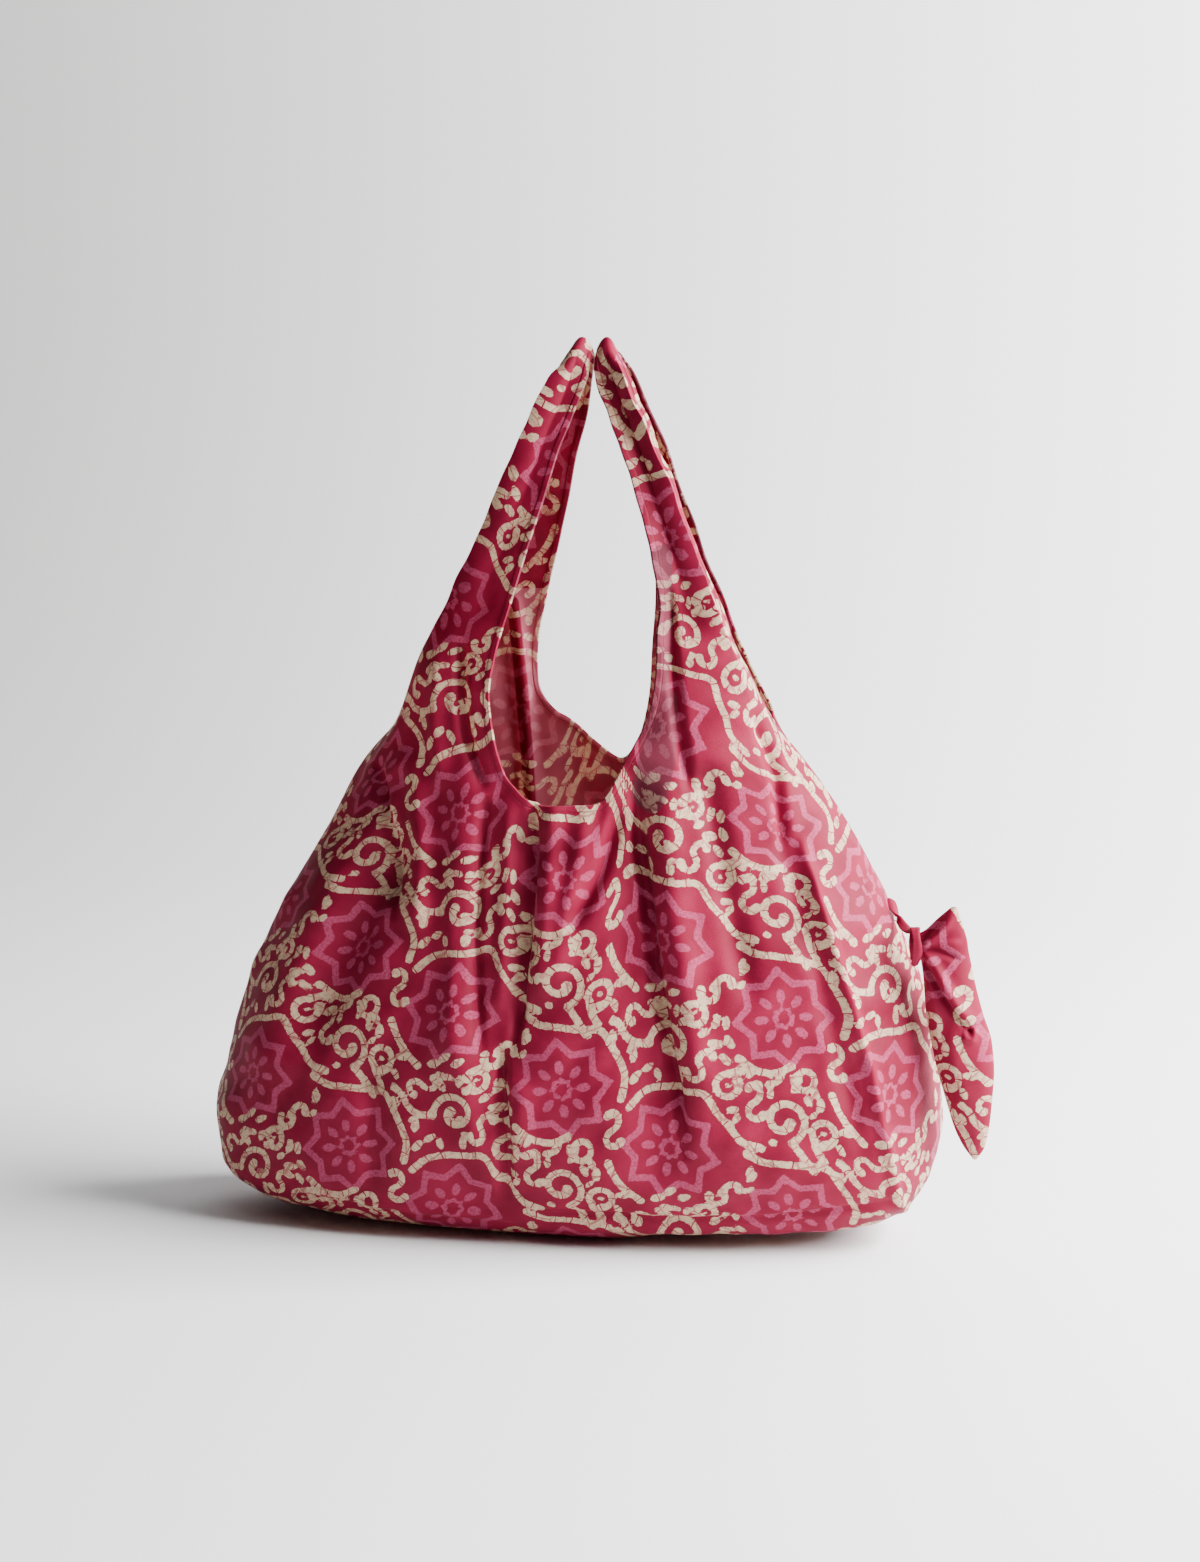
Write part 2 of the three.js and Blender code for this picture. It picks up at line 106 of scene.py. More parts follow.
def between(value, starts, full, fades, ends):
    """0 to 1 over one span of values, and back to 0 over another."""
    return smoothstep(value, starts, full) * (1 - smoothstep(value, fades, ends))


def unit(vectors):
    return vectors / np.maximum(np.linalg.norm(vectors, axis=-1, keepdims=True), 1e-9)


# The cloth's form, as its solids have it, but for the loops' tops, which lean in until they meet
SIDES = {"front": -1, "back": 1}
SIDEWAYS = {"left": -1, "right": 1}
SEAM_BEHIND_MIDDLE = 10
NOTCH_HEIGHT = 378
NECK_CORNERS = {
    "front": {"left": -0.19, "right": 0.16},
    "back": {"left": -0.17, "right": 0.11},
}
BASE_RINGS = (0.4, 0.8, 1)
WALL_ROWS = 20
WALL_ROW_CLOSING = 1.3
STRAND_COLUMNS = 15
COLUMN_CLOSING = 1.25
NECK_COLUMNS = 9
STRAND_ROWS = 20
LEVEL_ROWS = 8
SMOOTHING = {"passes": 8, "reach": 42, "share": 0.5}
ROOT_BLEND = 0.45
ROOT_HEIGHT = 358
FOOT_LIFT_ENDS = 90
SEAM_FADE = 22
FOOT_FADE = 14
FOLD_END = 0.2

SECTIONS = curves(
    "height left right front back square",
    (0, 212, 197, 58, 58, 2.3),
    (9, 262, 229, 82, 80, 2.5),
    (32, 284, 249, 100, 97, 2.7),
    (76, 290, 261, 111, 108, 2.5),
    (120, 279, 260, 109, 106, 2.3),
    (180, 262, 250, 101, 98, 2.1),
    (240, 233, 226, 89, 87, 2.0),
    (300, 196, 196, 77, 76, 1.9),
    (345, 173, 166, 69, 68, 1.9),
    (385, 133, 132, 61, 61, 1.9),
)
FOOT_LIFT = curves(
    "sideways lift", (-245, 3), (-150, 0), (20, 0), (80, 6), (150, 8), (235, 8)
)["lift"]
TOP_EDGES = {
    "front": curves(
        "across height",
        *((-1, NOTCH_HEIGHT), (-0.6, 360), (-0.19, 344), (-0.09, 325)),
        *((0.08, 327), (0.16, 358), (0.6, 366), (1, NOTCH_HEIGHT)),
    )["height"],
    "back": curves(
        "across height",
        *((-1, NOTCH_HEIGHT), (-0.6, 374), (-0.17, 375), (-0.02, 351)),
        *((0.05, 338), (0.11, 358), (0.6, 370), (1, NOTCH_HEIGHT)),
    )["height"],
}
STRANDS = table(
    "height armhole_depth neckline_depth bulge lean"
    " front_left_armhole front_left_neckline front_right_armhole front_right_neckline"
    " back_left_armhole back_left_neckline back_right_armhole back_right_neckline",
    (395, 12, 61, 15, 0, -130, -63, 130, 57, -128, -53, 128, 35),
    (430, 18, 57, 14, 0, -113, -59, 115, 60, -111, -51, 112, 37),
    (470, 22, 49, 13, 0, -94, -48, 98, 60, -91, -42, 94, 41),
    (507, 22, 42, 12, 0, -77, -38, 83, 53, -74, -32, 79, 41),
    (544, 20, 34, 11, 0, -61, -27, 68, 41, -59, -22, 65, 36),
    (580, 17, 26, 10, 0, -46, -17, 54, 28, -45, -13, 52, 26),
    (614, 13, 17, 9, 5, -31, -4, 39, 12, -30, -3, 38, 12),
    (636, 9, 10, 9, 25, -20, 2, 27, 5.5, -20, 2, 27, 5.5),
    (645, 4, 4, 9, 60, -15, 2.6, 22, 5, -15, 2.6, 22, 5),
    (648, 0, 0, 9, 90, -14, 2.6, 20, 5, -14, 2.6, 20, 5),
)
FOLDS = {
    "front": records(
        "from_x from_z to_x to_z width rise",
        (-94, 310, -84, 180, 17, -7),
        (-38, 310, -48, 140, 17, -8),
        (-66, 120, -58, 30, 18, -9),
        (46, 330, 74, 60, 18, -10),
        (168, 285, 214, 120, 16, 6),
        (214, 120, 228, 25, 18, 8),
    ),
    "back": records(
        "from_x from_z to_x to_z width rise",
        (-45, 325, -62, 140, 16, -8),
        (60, 310, 92, 100, 16, -8),
        (10, 290, 15, 60, 16, 6),
        (-150, 270, -205, 80, 16, -7),
        (150, 260, 190, 60, 16, 7),
    ),
}


def seam_depth(height):
    """The side seams lie a little behind the middle at the base, and in the middle at the notch."""
    return SEAM_BEHIND_MIDDLE * (1 - smoothstep(height, 0, NOTCH_HEIGHT))


def wall_points(panel, across, height, shrink=1.0):
    """Points of the body's wall, where across runs from the left seam at -1 to the right at 1."""
    across, height = np.broadcast_arrays(np.asarray(across, float), np.asarray(height, float))
    power = SECTIONS["square"](height)
    sideways = np.abs(np.sin(across * math.pi / 2))
    forwards = np.cos(across * math.pi / 2)
    radius = (sideways**power + forwards**power) ** (-1 / power) * shrink
    half = np.where(across < 0, -SECTIONS["left"](height), SECTIONS["right"](height))
    x = half * sideways * radius
    y = SIDES[panel] * SECTIONS[panel](height) * forwards * radius + seam_depth(height)
    lifted = FOOT_LIFT(x) * (1 - smoothstep(height, 0, FOOT_LIFT_ENDS))
    return np.stack([x, y, height + lifted], axis=-1)


def root_across(panel, side, q):
    """Where a strand's columns start on the wall, from its outer edge at 0 to its inner at 1."""
    corner = NECK_CORNERS[panel][side]
    return corner + (SIDEWAYS[side] - corner) * (1 - np.asarray(q, float)) ** COLUMN_CLOSING


def strand_points(panel, side, ups, qs):
    """A strand of a handle loop: a grid of points up it and from its outer to its inner edge."""

    def root(q):
        across = root_across(panel, side, q)
        return wall_points(panel, across, TOP_EDGES[panel](across))

    def edge(q, name):
        sideways = STRANDS[f"{panel}_{side}_{name}"]
        depth = SIDES[panel] * STRANDS[f"{name}_depth"]
        return np.vstack([root(q), np.stack([sideways, depth, STRANDS["height"]], axis=1)])

    outer, inner = edge(0, "armhole"), edge(1, "neckline")
    steps = np.linalg.norm(np.diff((outer + inner) / 2, axis=0), axis=1)
    along = np.append(0, np.cumsum(steps)) / steps.sum()
    bulge = curve(along, np.append(STRANDS["bulge"][0], STRANDS["bulge"]))
    lean = curve(along, np.append(0, STRANDS["lean"]))
    out, into = curve(along, outer)(ups), curve(along, inner)(ups)
    chord = unit((into - out) * (1, 1, 0))
    turn = SIDEWAYS[side] * SIDES[panel]
    tilt = np.radians(lean(ups))[:, None]
    level = np.stack([chord[:, 1], -chord[:, 0], 0 * ups], axis=1) * turn
    outwards = level * np.cos(tilt) + np.sin(tilt) * (0, 0, 1)
    curl = smoothstep(ups, 0, ROOT_BLEND)[:, None, None]
    q = qs[None, :, None]
    bend = root(qs) - (root(0) * (1 - qs[:, None]) + root(1) * qs[:, None])
    arch = (1 - (2 * q - 1) ** 2) * bulge(ups)[:, None, None]
    return (
        out[:, None] * (1 - q)
        + into[:, None] * q
        + bend[None] * (1 - curl)
        + outwards[:, None] * arch * curl
    )


def fold_rise(fold, x, z):
    """How far one fold lifts the cloth at places in the bag's face."""
    dx, dz = fold["to_x"] - fold["from_x"], fold["to_z"] - fold["from_z"]
    length = math.hypot(dx, dz)
    along = ((x - fold["from_x"]) * dx + (z - fold["from_z"]) * dz) / length**2
    aside = ((x - fold["from_x"]) * dz - (z - fold["from_z"]) * dx) / length
    ends = between(along, -FOLD_END, FOLD_END, 1 - FOLD_END, 1 + FOLD_END)
    return fold["rise"] * np.exp(-((aside / fold["width"]) ** 2)) * ends


class Panel:
    """One panel as a coarse sheet: its points, faces, and grids of point numbers."""

    def __init__(self, name):
        self.name = name
        self.parts = []
        self.count = 0
        self.faces = []
        shares = np.arange(STRAND_COLUMNS + 1) / STRAND_COLUMNS
        neck = np.linspace(*NECK_CORNERS[name].values(), NECK_COLUMNS + 1)[1:-1]
        across = np.concatenate(
            [root_across(name, "left", shares), neck, root_across(name, "right", 1 - shares)]
        )
        pole = self.add(np.array([[0, seam_depth(0), 0]]))[0]
        rows = [self.add(wall_points(name, across, 0, shrink)) for shrink in BASE_RINGS]
        for share in (np.arange(1, WALL_ROWS + 1) / WALL_ROWS) ** WALL_ROW_CLOSING:
            rows.append(self.add(wall_points(name, across, share * TOP_EDGES[name](across))))
        self.fan = [(pole, b, a) for a, b in zip(rows[0][:-1], rows[0][1:])]
        self.body = np.array(rows)
        self.strands = {}
        self.join(self.body)
        ups = np.arange(1, STRAND_ROWS + 1) / STRAND_ROWS
        for side, root in (
            ("left", rows[-1][: STRAND_COLUMNS + 1]),
            ("right", rows[-1][-STRAND_COLUMNS - 1 :]),
        ):
            grid = strand_points(name, side, ups, shares)
            if side == "right":
                grid = grid[:, ::-1]
            numbers = self.add(grid.reshape(-1, 3)).reshape(STRAND_ROWS, -1)
            self.strands[side] = np.vstack([root, numbers])
            self.join(self.strands[side])
        self.points = np.vstack(self.parts)
        self.seam = np.concatenate(
            [[pole], self.body[:, 0], self.body[:, -1]] + [s[-1] for s in self.strands.values()]
        )
        self.quads = np.array(self.faces)
        if name == "back":
            self.quads = self.quads[:, [0, 3, 2, 1]]
            self.fan = [(a, c, b) for a, b, c in self.fan]

    def add(self, points):
        self.parts.append(points)
        self.count += len(points)
        return np.arange(self.count - len(points), self.count)

    def join(self, grid):
        for low, high in zip(grid[:-1], grid[1:]):
            self.faces += zip(low[:-1], low[1:], high[1:], high[:-1])

    def triangles(self):
        return np.vstack([split(self.quads), self.fan])

    def all_faces(self):
        return [tuple(map(int, f)) for f in [*self.fan, *self.quads]]

    def smooth_roots(self):
        """Evens out the bend where the strands leave the wall."""
        triangles = self.triangles()
        pairs = np.vstack([triangles[:, [0, 1]], triangles[:, [1, 2]], triangles[:, [2, 0]]])
        ordered, uses = np.unique(np.sort(pairs, axis=1), axis=0, return_counts=True)
        free = np.unique(ordered[uses == 1])
        both = np.vstack([ordered, ordered[:, ::-1]])
        near = np.bincount(both[:, 0], minlength=self.count)[:, None]
        for _ in range(SMOOTHING["passes"]):
            sums = np.zeros_like(self.points)
            np.add.at(sums, both[:, 0], self.points[both[:, 1]])
            aside = (self.points[:, 2] - ROOT_HEIGHT) / SMOOTHING["reach"]
            share = SMOOTHING["share"] * np.exp(-(aside**2))
            share[free] = 0
            self.points += (sums / near - self.points) * share[:, None]

    def print_places(self):
        """Where each point lies on the flat printed cloth."""
        places = np.zeros((self.count, 2))
        grid = self.points[self.body]
        run = np.zeros(grid.shape[:2])
        run[:, 1:] = np.cumsum(np.linalg.norm(np.diff(grid, axis=1), axis=2), axis=1)
        for lengths, row in zip(run, grid):
            lengths -= np.interp(0, row[:, 0], lengths)
        rim = len(BASE_RINGS) - 1
        rise = np.zeros(grid.shape[:2])
        for i in range(rim + 1, len(grid)):
            rise[i] = rise[i - 1] + climb(grid[i - 1], grid[i])[1]
        for i, shrink in enumerate(BASE_RINGS[:-1]):
            run[i] = run[rim] * shrink
            rise[i] = -(1 - shrink) * np.abs(grid[rim, :, 1] - seam_depth(0))
        places[self.body] = np.stack([run, rise], axis=-1)
        places[0] = (0, -SECTIONS[self.name](0))
        for numbers in self.strands.values():
            grid = self.points[numbers]
            middle = grid.shape[1] // 2
            root = places[numbers[0]] - places[numbers[0, middle]]
            centre = places[numbers[0, middle]]
            tilt = math.atan2(root[-1, 1] - root[0, 1], root[-1, 0] - root[0, 0])
            run = np.cumsum(np.linalg.norm(np.diff(grid, axis=1), axis=2), axis=1)
            for i in range(1, len(grid)):
                moved, climbed = climb(grid[i - 1], grid[i])
                turn = tilt * (1 - smoothstep(i, 0, LEVEL_ROWS))
                along = np.array((math.cos(turn), math.sin(turn)))
                up = np.array((-along[1], along[0]))
                centre = centre + moved[middle] * along + climbed[middle] * up
                lengths = np.append(0, run[i]) - run[i, middle - 1]
                drawn = np.outer(lengths, along)
                keep = 1 - smoothstep(i, 0, LEVEL_ROWS / 2)
                places[numbers[i]] = (
                    centre + drawn * (1 - keep) + root * keep * run[i, -1] / run[0, -1]
                )
        return places * (-SIDES[self.name], 1)

    def fields(self):
        """Whether each point lies on a seam, how far it is across its strand and how far up it."""
        made = np.zeros((self.count, 3))
        made[self.seam, 0] = 1
        q = np.arange(STRAND_COLUMNS + 1) / STRAND_COLUMNS
        neck = np.ones(NECK_COLUMNS - 1)
        made[self.body, 1] = np.concatenate([q, neck, q[::-1]])
        made[self.body, 2] = np.linspace(-1, 0, len(self.body))[:, None]
        for side, numbers in self.strands.items():
            made[numbers, 1] = q if side == "left" else q[::-1]
            made[numbers, 2] = np.linspace(0, 1, len(numbers))[:, None]
        return made


def climb(lower, upper):
    """How far a row of points moves along itself and across itself from one row to the next."""
    along = unit(np.gradient(lower, axis=0) + np.gradient(upper, axis=0))
    step = upper - lower
    moved = (step * along).sum(axis=1)
    return moved, np.linalg.norm(step - moved[:, None] * along, axis=1)


def outward_directions(sheets):
    """Outward direction at every point of each sheet, shared where two sheets meet."""
    offsets = np.cumsum([0] + [len(points) for points, _ in sheets])
    points = np.vstack([points for points, _ in sheets])
    triangles = np.vstack([t + offset for (_, t), offset in zip(sheets, offsets)])
    corners = points[triangles]
    normals = np.cross(corners[:, 1] - corners[:, 0], corners[:, 2] - corners[:, 0])
    _, place = np.unique(np.round(points * 100).astype(int), axis=0, return_inverse=True)
    place = place.ravel()
    sums = np.zeros((place.max() + 1, 3))
    for k in range(3):
        np.add.at(sums, place[triangles[:, k]], normals)
    directions = unit(sums)[place]
    return [directions[a:b] for a, b in zip(offsets[:-1], offsets[1:])]


def add_object(name, data):
    made = bpy.data.objects.new(name, data)
    bpy.context.scene.collection.objects.link(made)
    return made


def finer(points, faces):
    """A subdivided surface's points and quads."""
    mesh = bpy.data.meshes.new("cage")
    mesh.from_pydata(np.asarray(points).tolist(), [], faces)
    cage = add_object("cage", mesh)
    modifier = cage.modifiers.new("finer", "SUBSURF")
    modifier.levels = FINE_LEVELS
    modifier.boundary_smooth = "PRESERVE_CORNERS"
    now = bpy.context.evaluated_depsgraph_get()
    made = bpy.data.meshes.new_from_object(cage.evaluated_get(now))
    found = np.empty(len(made.vertices) * 3)
    made.vertices.foreach_get("co", found)
    corners = np.empty(len(made.loops), dtype=int)
    made.loops.foreach_get("vertex_index", corners)
    bpy.data.objects.remove(cage)
    bpy.data.meshes.remove(mesh)
    bpy.data.meshes.remove(made)
    return found.reshape(-1, 3), corners.reshape(-1, 4)


def split(quads):
    """Two triangles for each quad."""
    return np.vstack([quads[:, [0, 1, 2]], quads[:, [0, 2, 3]]])


def made_object(name, points, faces, places, material):
    """An object of the bag with its print's coordinates as a UV map, in metres."""
    mesh = bpy.data.meshes.new(name)
    mesh.from_pydata((points * METRE).tolist(), [], faces.tolist())
    layer = mesh.uv_layers.new(name="Print")
    layer.data.foreach_set("uv", (places[faces.ravel()] * METRE).ravel())
    mesh.shade_smooth()
    mesh.materials.append(material)
    made = add_object(name, mesh)
    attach(made, "root")
    return made


# The print: a repeat over the flat cloth, in millimetres. Its own axes run along and up from the
# rows of stars, which slope down to the right.
PRINT_SLOPE = math.radians(31)
REPEAT = {"width": 193, "height": 128, "shift": -78}
STARS = records("x y turn", (0, 0, 0.15), (93, 0, 0.55))
STAR = {
    "tip": 35, "notch": 26, "half_width": 2.3, "petal_at": 16, "petal_long": 5, "petal_wide": 3,
    "rosette": 5, "ripple": 2.4, "rosette_half": 1.5, "tips": 8,
}
SPIRAL = {"step": 20, "end": 0.6}
VINE = {"half": 2.5, "swell": 0.2}
LEAF = {"steps": 7, "round": 0.7, "stem": 1.15, "taper": 0.4}
KNOB_SHARE = 0.1
FAR = 99.0
SPIRALS = records(
    "x y from_radius to_radius from_angle sweep half_width",
    (57, 66, 17, 4, 215, -400, 2.5),
    (152, 64, 17, 5, -40, 410, 2.5),
    (60, 97, 8, 7, 250, 300, 2.3),
    (-12, 71, 8.5, 8.5, 240, -300, 2.3),
    (105, 65, 8.5, 8, 110, 300, 2.3),
    (150, 98, 9, 5, 200, 380, 2.1),
)
VINES = (
    ((-52, 29), (-39, 30), (-27, 36), (-13, 43), (2, 50), (15, 44), (26, 38), (37, 29), (42, 15)),
    ((51, 12), (56, 26), (67, 36), (81, 43), (94, 51), (108, 44), (121, 40), (134, 35), (148, 38)),
    ((43, 57), (33, 52), (23, 53), (14, 58), (7, 59)),
    ((-16, 64), (-11, 58), (-2, 53)),
    ((165, 53), (175, 49), (188, 43)),
    ((-21, 99), (-10, 91), (2, 86), (15, 83)),
    ((102, 86), (116, 85), (129, 90), (137, 101)),
    ((56, 87), (59, 92)),
    ((102, 73), (107, 79), (114, 80)),
)
SNAKES = records(
    "x y turn size flip",
    (25, 73, -68, 0.68, 1),
    (83, 67, 20, 0.72, -1),
    (127, 64, 10, 0.75, 1),
    (47, -7, 8, 0.75, 1),
    (143, -8, 0, 0.75, -1),
)
SNAKE_HALF = 3.1
SNAKE = ((-9, 12), (-5, 16), (1, 14), (4, 6), (-1, -2), (-2, -9), (3, -14), (10, -13), (13, -8))
LEAVES = records(
    "x y angle length width",
    (44, 27, 80, 10, 3.2), (21, 88, 40, 11, 3.2), (30, 86, 10, 10, 3), (28, 96, 60, 10, 3),
    (38, 98, 50, 10, 3), (95, 90, 150, 11, 3.2), (84, 99, 120, 10, 3), (88, 88, 190, 9, 2.8),
    (-40, 20, 260, 10, 3), (-36, 8, 250, 8, 2.6), (48, 38, 60, 9, 2.8), (38, 40, 120, 10, 3.2),
    (30, 44, 60, 7, 2.2), (122, 44, 80, 8, 2.6), (114, 49, 40, 9, 2.8), (62, 39, 140, 9, 2.8),
    (76, 47, 130, 9, 3), (70, 85, 60, 9, 2.8), (78, 84, 20, 11, 3.3), (90, 82, 340, 10, 3),
    (76, 95, 100, 9, 2.8), (50, 87, 110, 9, 2.8), (44, 90, 190, 8, 2.6), (42, 78, 150, 10, 3.2),
    (-3, 80, 20, 10, 3), (0, 70, 330, 9, 2.8), (-22, 84, 120, 10, 3.2), (-28, 92, 160, 9, 2.8),
    (-26, 76, 70, 7, 2.2), (-46, 85, 80, 9, 2.8), (128, 80, 40, 9, 2.8), (120, 78, 350, 8, 2.4),
    (136, 73, 120, 8, 2.6), (64, 66, 200, 5, 2.4), (10, 52, 330, 9, 2.6), (156, 88, 330, 9, 2.8),
    (133, 84, 70, 9, 2.8), (62, 117, 100, 8, 2.6), (150, 14, 100, 9, 2.8),
)
DOTS = records(
    "x y radius",
    (-12, 71, 1.7), (105, 65, 1.5), (60, 97, 1.2), (71, 56, 2), (96, 80, 2), (-40, 46, 2.4),
    (74, 103, 2.2),
)
DOT_ENDS = ((-0.8, 0), (0.8, 0.5))
WAX_CRACK_EVERY = 12.5
CRACKS_SHIFT = 3.7


def path_through(points, steps=4):
    """A smooth path through a few points."""
    p = np.array(points, float)
    p = np.vstack([2 * p[0] - p[1], p, 2 * p[-1] - p[-2]])
    t = (np.arange(steps) / steps)[:, None]
    pieces = [
        b
        + (c - a) * t / 2
        + (a - 2.5 * b + 2 * c - d / 2) * t**2
        + (1.5 * (b - c) + (d - a) / 2) * t**3
        for a, b, c, d in zip(p, p[1:], p[2:], p[3:])
    ]
    return np.vstack([*pieces, p[-2]])


def knobbed(half, count, swell=0.45):
    """A stroke's half widths, swelling to a round knob at both ends."""
    t = np.linspace(0, 1, count)
    knobs = np.exp(-((t / KNOB_SHARE) ** 2)) + np.exp(-(((1 - t) / KNOB_SHARE) ** 2))
    return half * (1 + swell * knobs)


def wax_strokes():
    """Each light stroke of the print: a path and its half width along it."""
    for row in SPIRALS:
        t = np.linspace(0, 1, int(abs(row["sweep"]) / SPIRAL["step"]))
        radius = row["from_radius"] + (row["to_radius"] - row["from_radius"]) * t
        angle = np.radians(row["from_angle"] + row["sweep"] * t)
        path = np.column_stack([radius * np.cos(angle), radius * np.sin(angle)])
        yield (row["x"], row["y"]) + path, row["half_width"] * (1 + SPIRAL["end"] * t**8)
    for row in SNAKES:
        path = path_through(np.array(SNAKE) * (row["flip"], 1) * row["size"], 3)
        cos, sin = math.cos(math.radians(row["turn"])), math.sin(math.radians(row["turn"]))
        path = path @ np.array([[cos, sin], [-sin, cos]]) + (row["x"], row["y"])
        yield path, knobbed(SNAKE_HALF * row["size"], len(path))
    for vine in VINES:
        path = path_through(vine)
        yield path, knobbed(VINE["half"], len(path), VINE["swell"])
    for row in LEAVES:
        t = np.linspace(0, 1, LEAF["steps"])
        angle = math.radians(row["angle"])
        path = np.outer(t * row["length"], (math.cos(angle), math.sin(angle)))
        swell = (4 * t * (1 - t)) ** LEAF["round"] * (LEAF["stem"] - LEAF["taper"] * t)
        yield (row["x"], row["y"]) + path, row["width"] * swell
    for row in DOTS:
        yield np.array(DOT_ENDS) + (row["x"], row["y"]), np.full(2, row["radius"])


def from_repeat(u, v, x, y):
    """How far places are from the nearest repeat of a spot of the print."""
    steps = np.round((v - y) / REPEAT["height"])
    aside = u - x - steps * REPEAT["shift"] + REPEAT["width"] / 2
    return aside % REPEAT["width"] - REPEAT["width"] / 2, v - y - steps * REPEAT["height"]


def wax_fields(u, v):
    """Signed distance to the nearest light stroke, and how far along it."""
    nearest = np.full(u.shape, FAR)
    along = np.zeros(u.shape)
    start = 0
    for path, half in wax_strokes():
        for a, b, half_a, half_b in zip(path[:-1], path[1:], half[:-1], half[1:]):
            dx, dy = b - a
            length = math.hypot(dx, dy)
            x, y = from_repeat(u, v, (a[0] + b[0]) / 2, (a[1] + b[1]) / 2)
            t = ((x + dx / 2) * dx + (y + dy / 2) * dy) / length**2
            near = np.clip(t, 0, 1) - 0.5
            half_width = half_a + (half_b - half_a) * (near + 0.5)
            reach = np.hypot(x - near * dx, y - near * dy) - half_width
            closer = reach < nearest
            nearest[closer] = reach[closer]
            along[closer] = start + t[closer] * length
            start += length
        start += CRACKS_SHIFT
    return nearest, along


def star_field(u, v):
    """Signed distance to the nearest star's outline, petals and rosette."""
    nearest = np.full(u.shape, FAR)
    sector = 2 * math.pi / STAR["tips"]
    for row in STARS:
        x, y = from_repeat(u, v, row["x"], row["y"])
        radius = np.hypot(x, y)
        turn = np.arctan2(y, x) / sector + row["turn"]
        folded = ((turn + 0.5) % 1 - 0.5) * sector
        tip = np.array((STAR["tip"], 0))
        notch = STAR["notch"] * np.array((math.cos(sector / 2), math.sin(sector / 2)))
        side = unit(notch - tip)
        px, py = radius * np.cos(folded), radius * np.abs(np.sin(folded))
        outline = np.abs((px - tip[0]) * side[1] - py * side[0])
        petal_x = (px - STAR["petal_at"]) / STAR["petal_long"]
        petal = (np.hypot(petal_x, py / STAR["petal_wide"]) - 1) * STAR["petal_wide"]
        ripple = STAR["ripple"] * np.abs(turn % 1 * 2 - 1)
        rosette = np.abs(radius - STAR["rosette"] - ripple) - STAR["rosette_half"]
        for part in (outline - STAR["half_width"], petal, rosette):
            nearest = np.minimum(nearest, part)
    return nearest


# The fine cloth
CLOTH_SHOWN = 0.9
HEM_SHOWN = 0.6
HEM_WIDTH = 5
HEM_STEP = 2
FINE_LEVELS = 3
CREASES = {
    "front": records(
        "width rise path",
        (15, 9, ((-80, 335), (-84, 240), (-80, 160), (-66, 90), (-52, 40))),
        (3.5, -6, ((-64, 326), (-68, 240), (-62, 150))),
        (8, 6, ((-46, 330), (-46, 250), (-48, 170))),
        (3.5, -9, ((-27, 334), (-28, 272), (-32, 209), (-38, 150))),
        (8, 6, ((-12, 330), (-14, 262), (-20, 190))),
        (4, -9, ((-46, 150), (-46, 117), (-42, 82), (-44, 40))),
        (9, 4, ((-32, 130), (-30, 70))),
        (5, -7, ((35, 320), (25, 281), (2, 240))),
        (8, 5, ((12, 318), (2, 262), (-8, 200))),
        (4.5, -10, ((46, 343), (49, 300), (63, 210), (79, 134), (88, 80))),
        (12, 7, ((66, 340), (74, 260), (92, 170), (100, 110))),
        (9, -6, ((94, 352), (112, 270), (132, 190))),
        (3.5, 5, ((163, 299), (194, 210), (217, 137), (232, 70), (240, 12))),
        (8, -5, ((150, 300), (178, 214), (200, 137), (216, 70))),
        (4.5, -8, ((-153, 345), (-139, 289), (-132, 240))),
        (9, 6, ((-120, 350), (-112, 290), (-112, 220))),
        (16, -10, ((-130, 300), (-160, 230), (-200, 150))),
        (18, 7, ((-176, 280), (-214, 180), (-240, 100))),
        (10, -6, ((-150, 130), (-140, 80), (-146, 40))),
        (4, -7, ((129, 389), (144, 345), (150, 300))),
        (4, -7, ((64, 480), (71, 428), (77, 379), (84, 340))),
        (4.5, -8, ((-88, 440), (-80, 372), (-66, 338))),
        (7, 4, ((-104, 430), (-104, 380), (-98, 340))),
        (3.5, 3, ((-210, 34), (-120, 26), (-30, 22))),
        (3, -4, ((-20, 30), (90, 26), (190, 34), (240, 44))),
        (5, 3, ((20, 18), (120, 14), (220, 20))),
    ),
    "back": records(
        "width rise path",
        (5, -7, ((-67, 460), (-61, 384), (-57, 314), (-50, 250))),
        (5, -9, ((-95, 330), (-90, 250), (-82, 160))),
        (14, 8, ((-120, 330), (-130, 230), (-120, 120))),
        (5, -9, ((70, 320), (80, 220), (90, 120))),
        (14, 8, ((110, 330), (140, 230), (170, 130))),
        (4, 5, ((10, 300), (14, 180), (20, 70))),
        (5, -8, ((-30, 300), (-34, 180), (-30, 70))),
        (8, -6, ((150, 300), (190, 200), (215, 100))),
        (7, -6, ((-160, 300), (-200, 200), (-232, 100))),
        (3.5, -3.5, ((-200, 34), (0, 24), (200, 36))),
    ),
}
# Fold edges along the strands: how far in from the outer edge, and how much they flatten them
STRAND_FOLDS = {
    "front": {"left": {"peak": 0.14, "flatten": 12}, "right": {"peak": 0.28, "flatten": 22}},
    "back": {"left": {"peak": 0.25, "flatten": 7}, "right": {"peak": 0.25, "flatten": 7}},
}
# Where cloth lies turned over, so that its other side shows: on the back, along a crease.
# On the front, along the right strand's inner edge and at the neck's right corner, these patches
# are painted sheen: the wrong side's paler purple, painted where the sheer cloth shines and lets
# light through.
TURNED_AND_PAINTED_SHEEN = {
    "front": records(
        "half path",
        (7, ((60, 505), (61, 450), (62, 400))),
        (13, ((62, 400), (62, 365), (56, 335))),
    ),
    "back": records("half path", (4.5, ((-69, 460), (-63, 384), (-59, 314), (-52, 250)))),
}
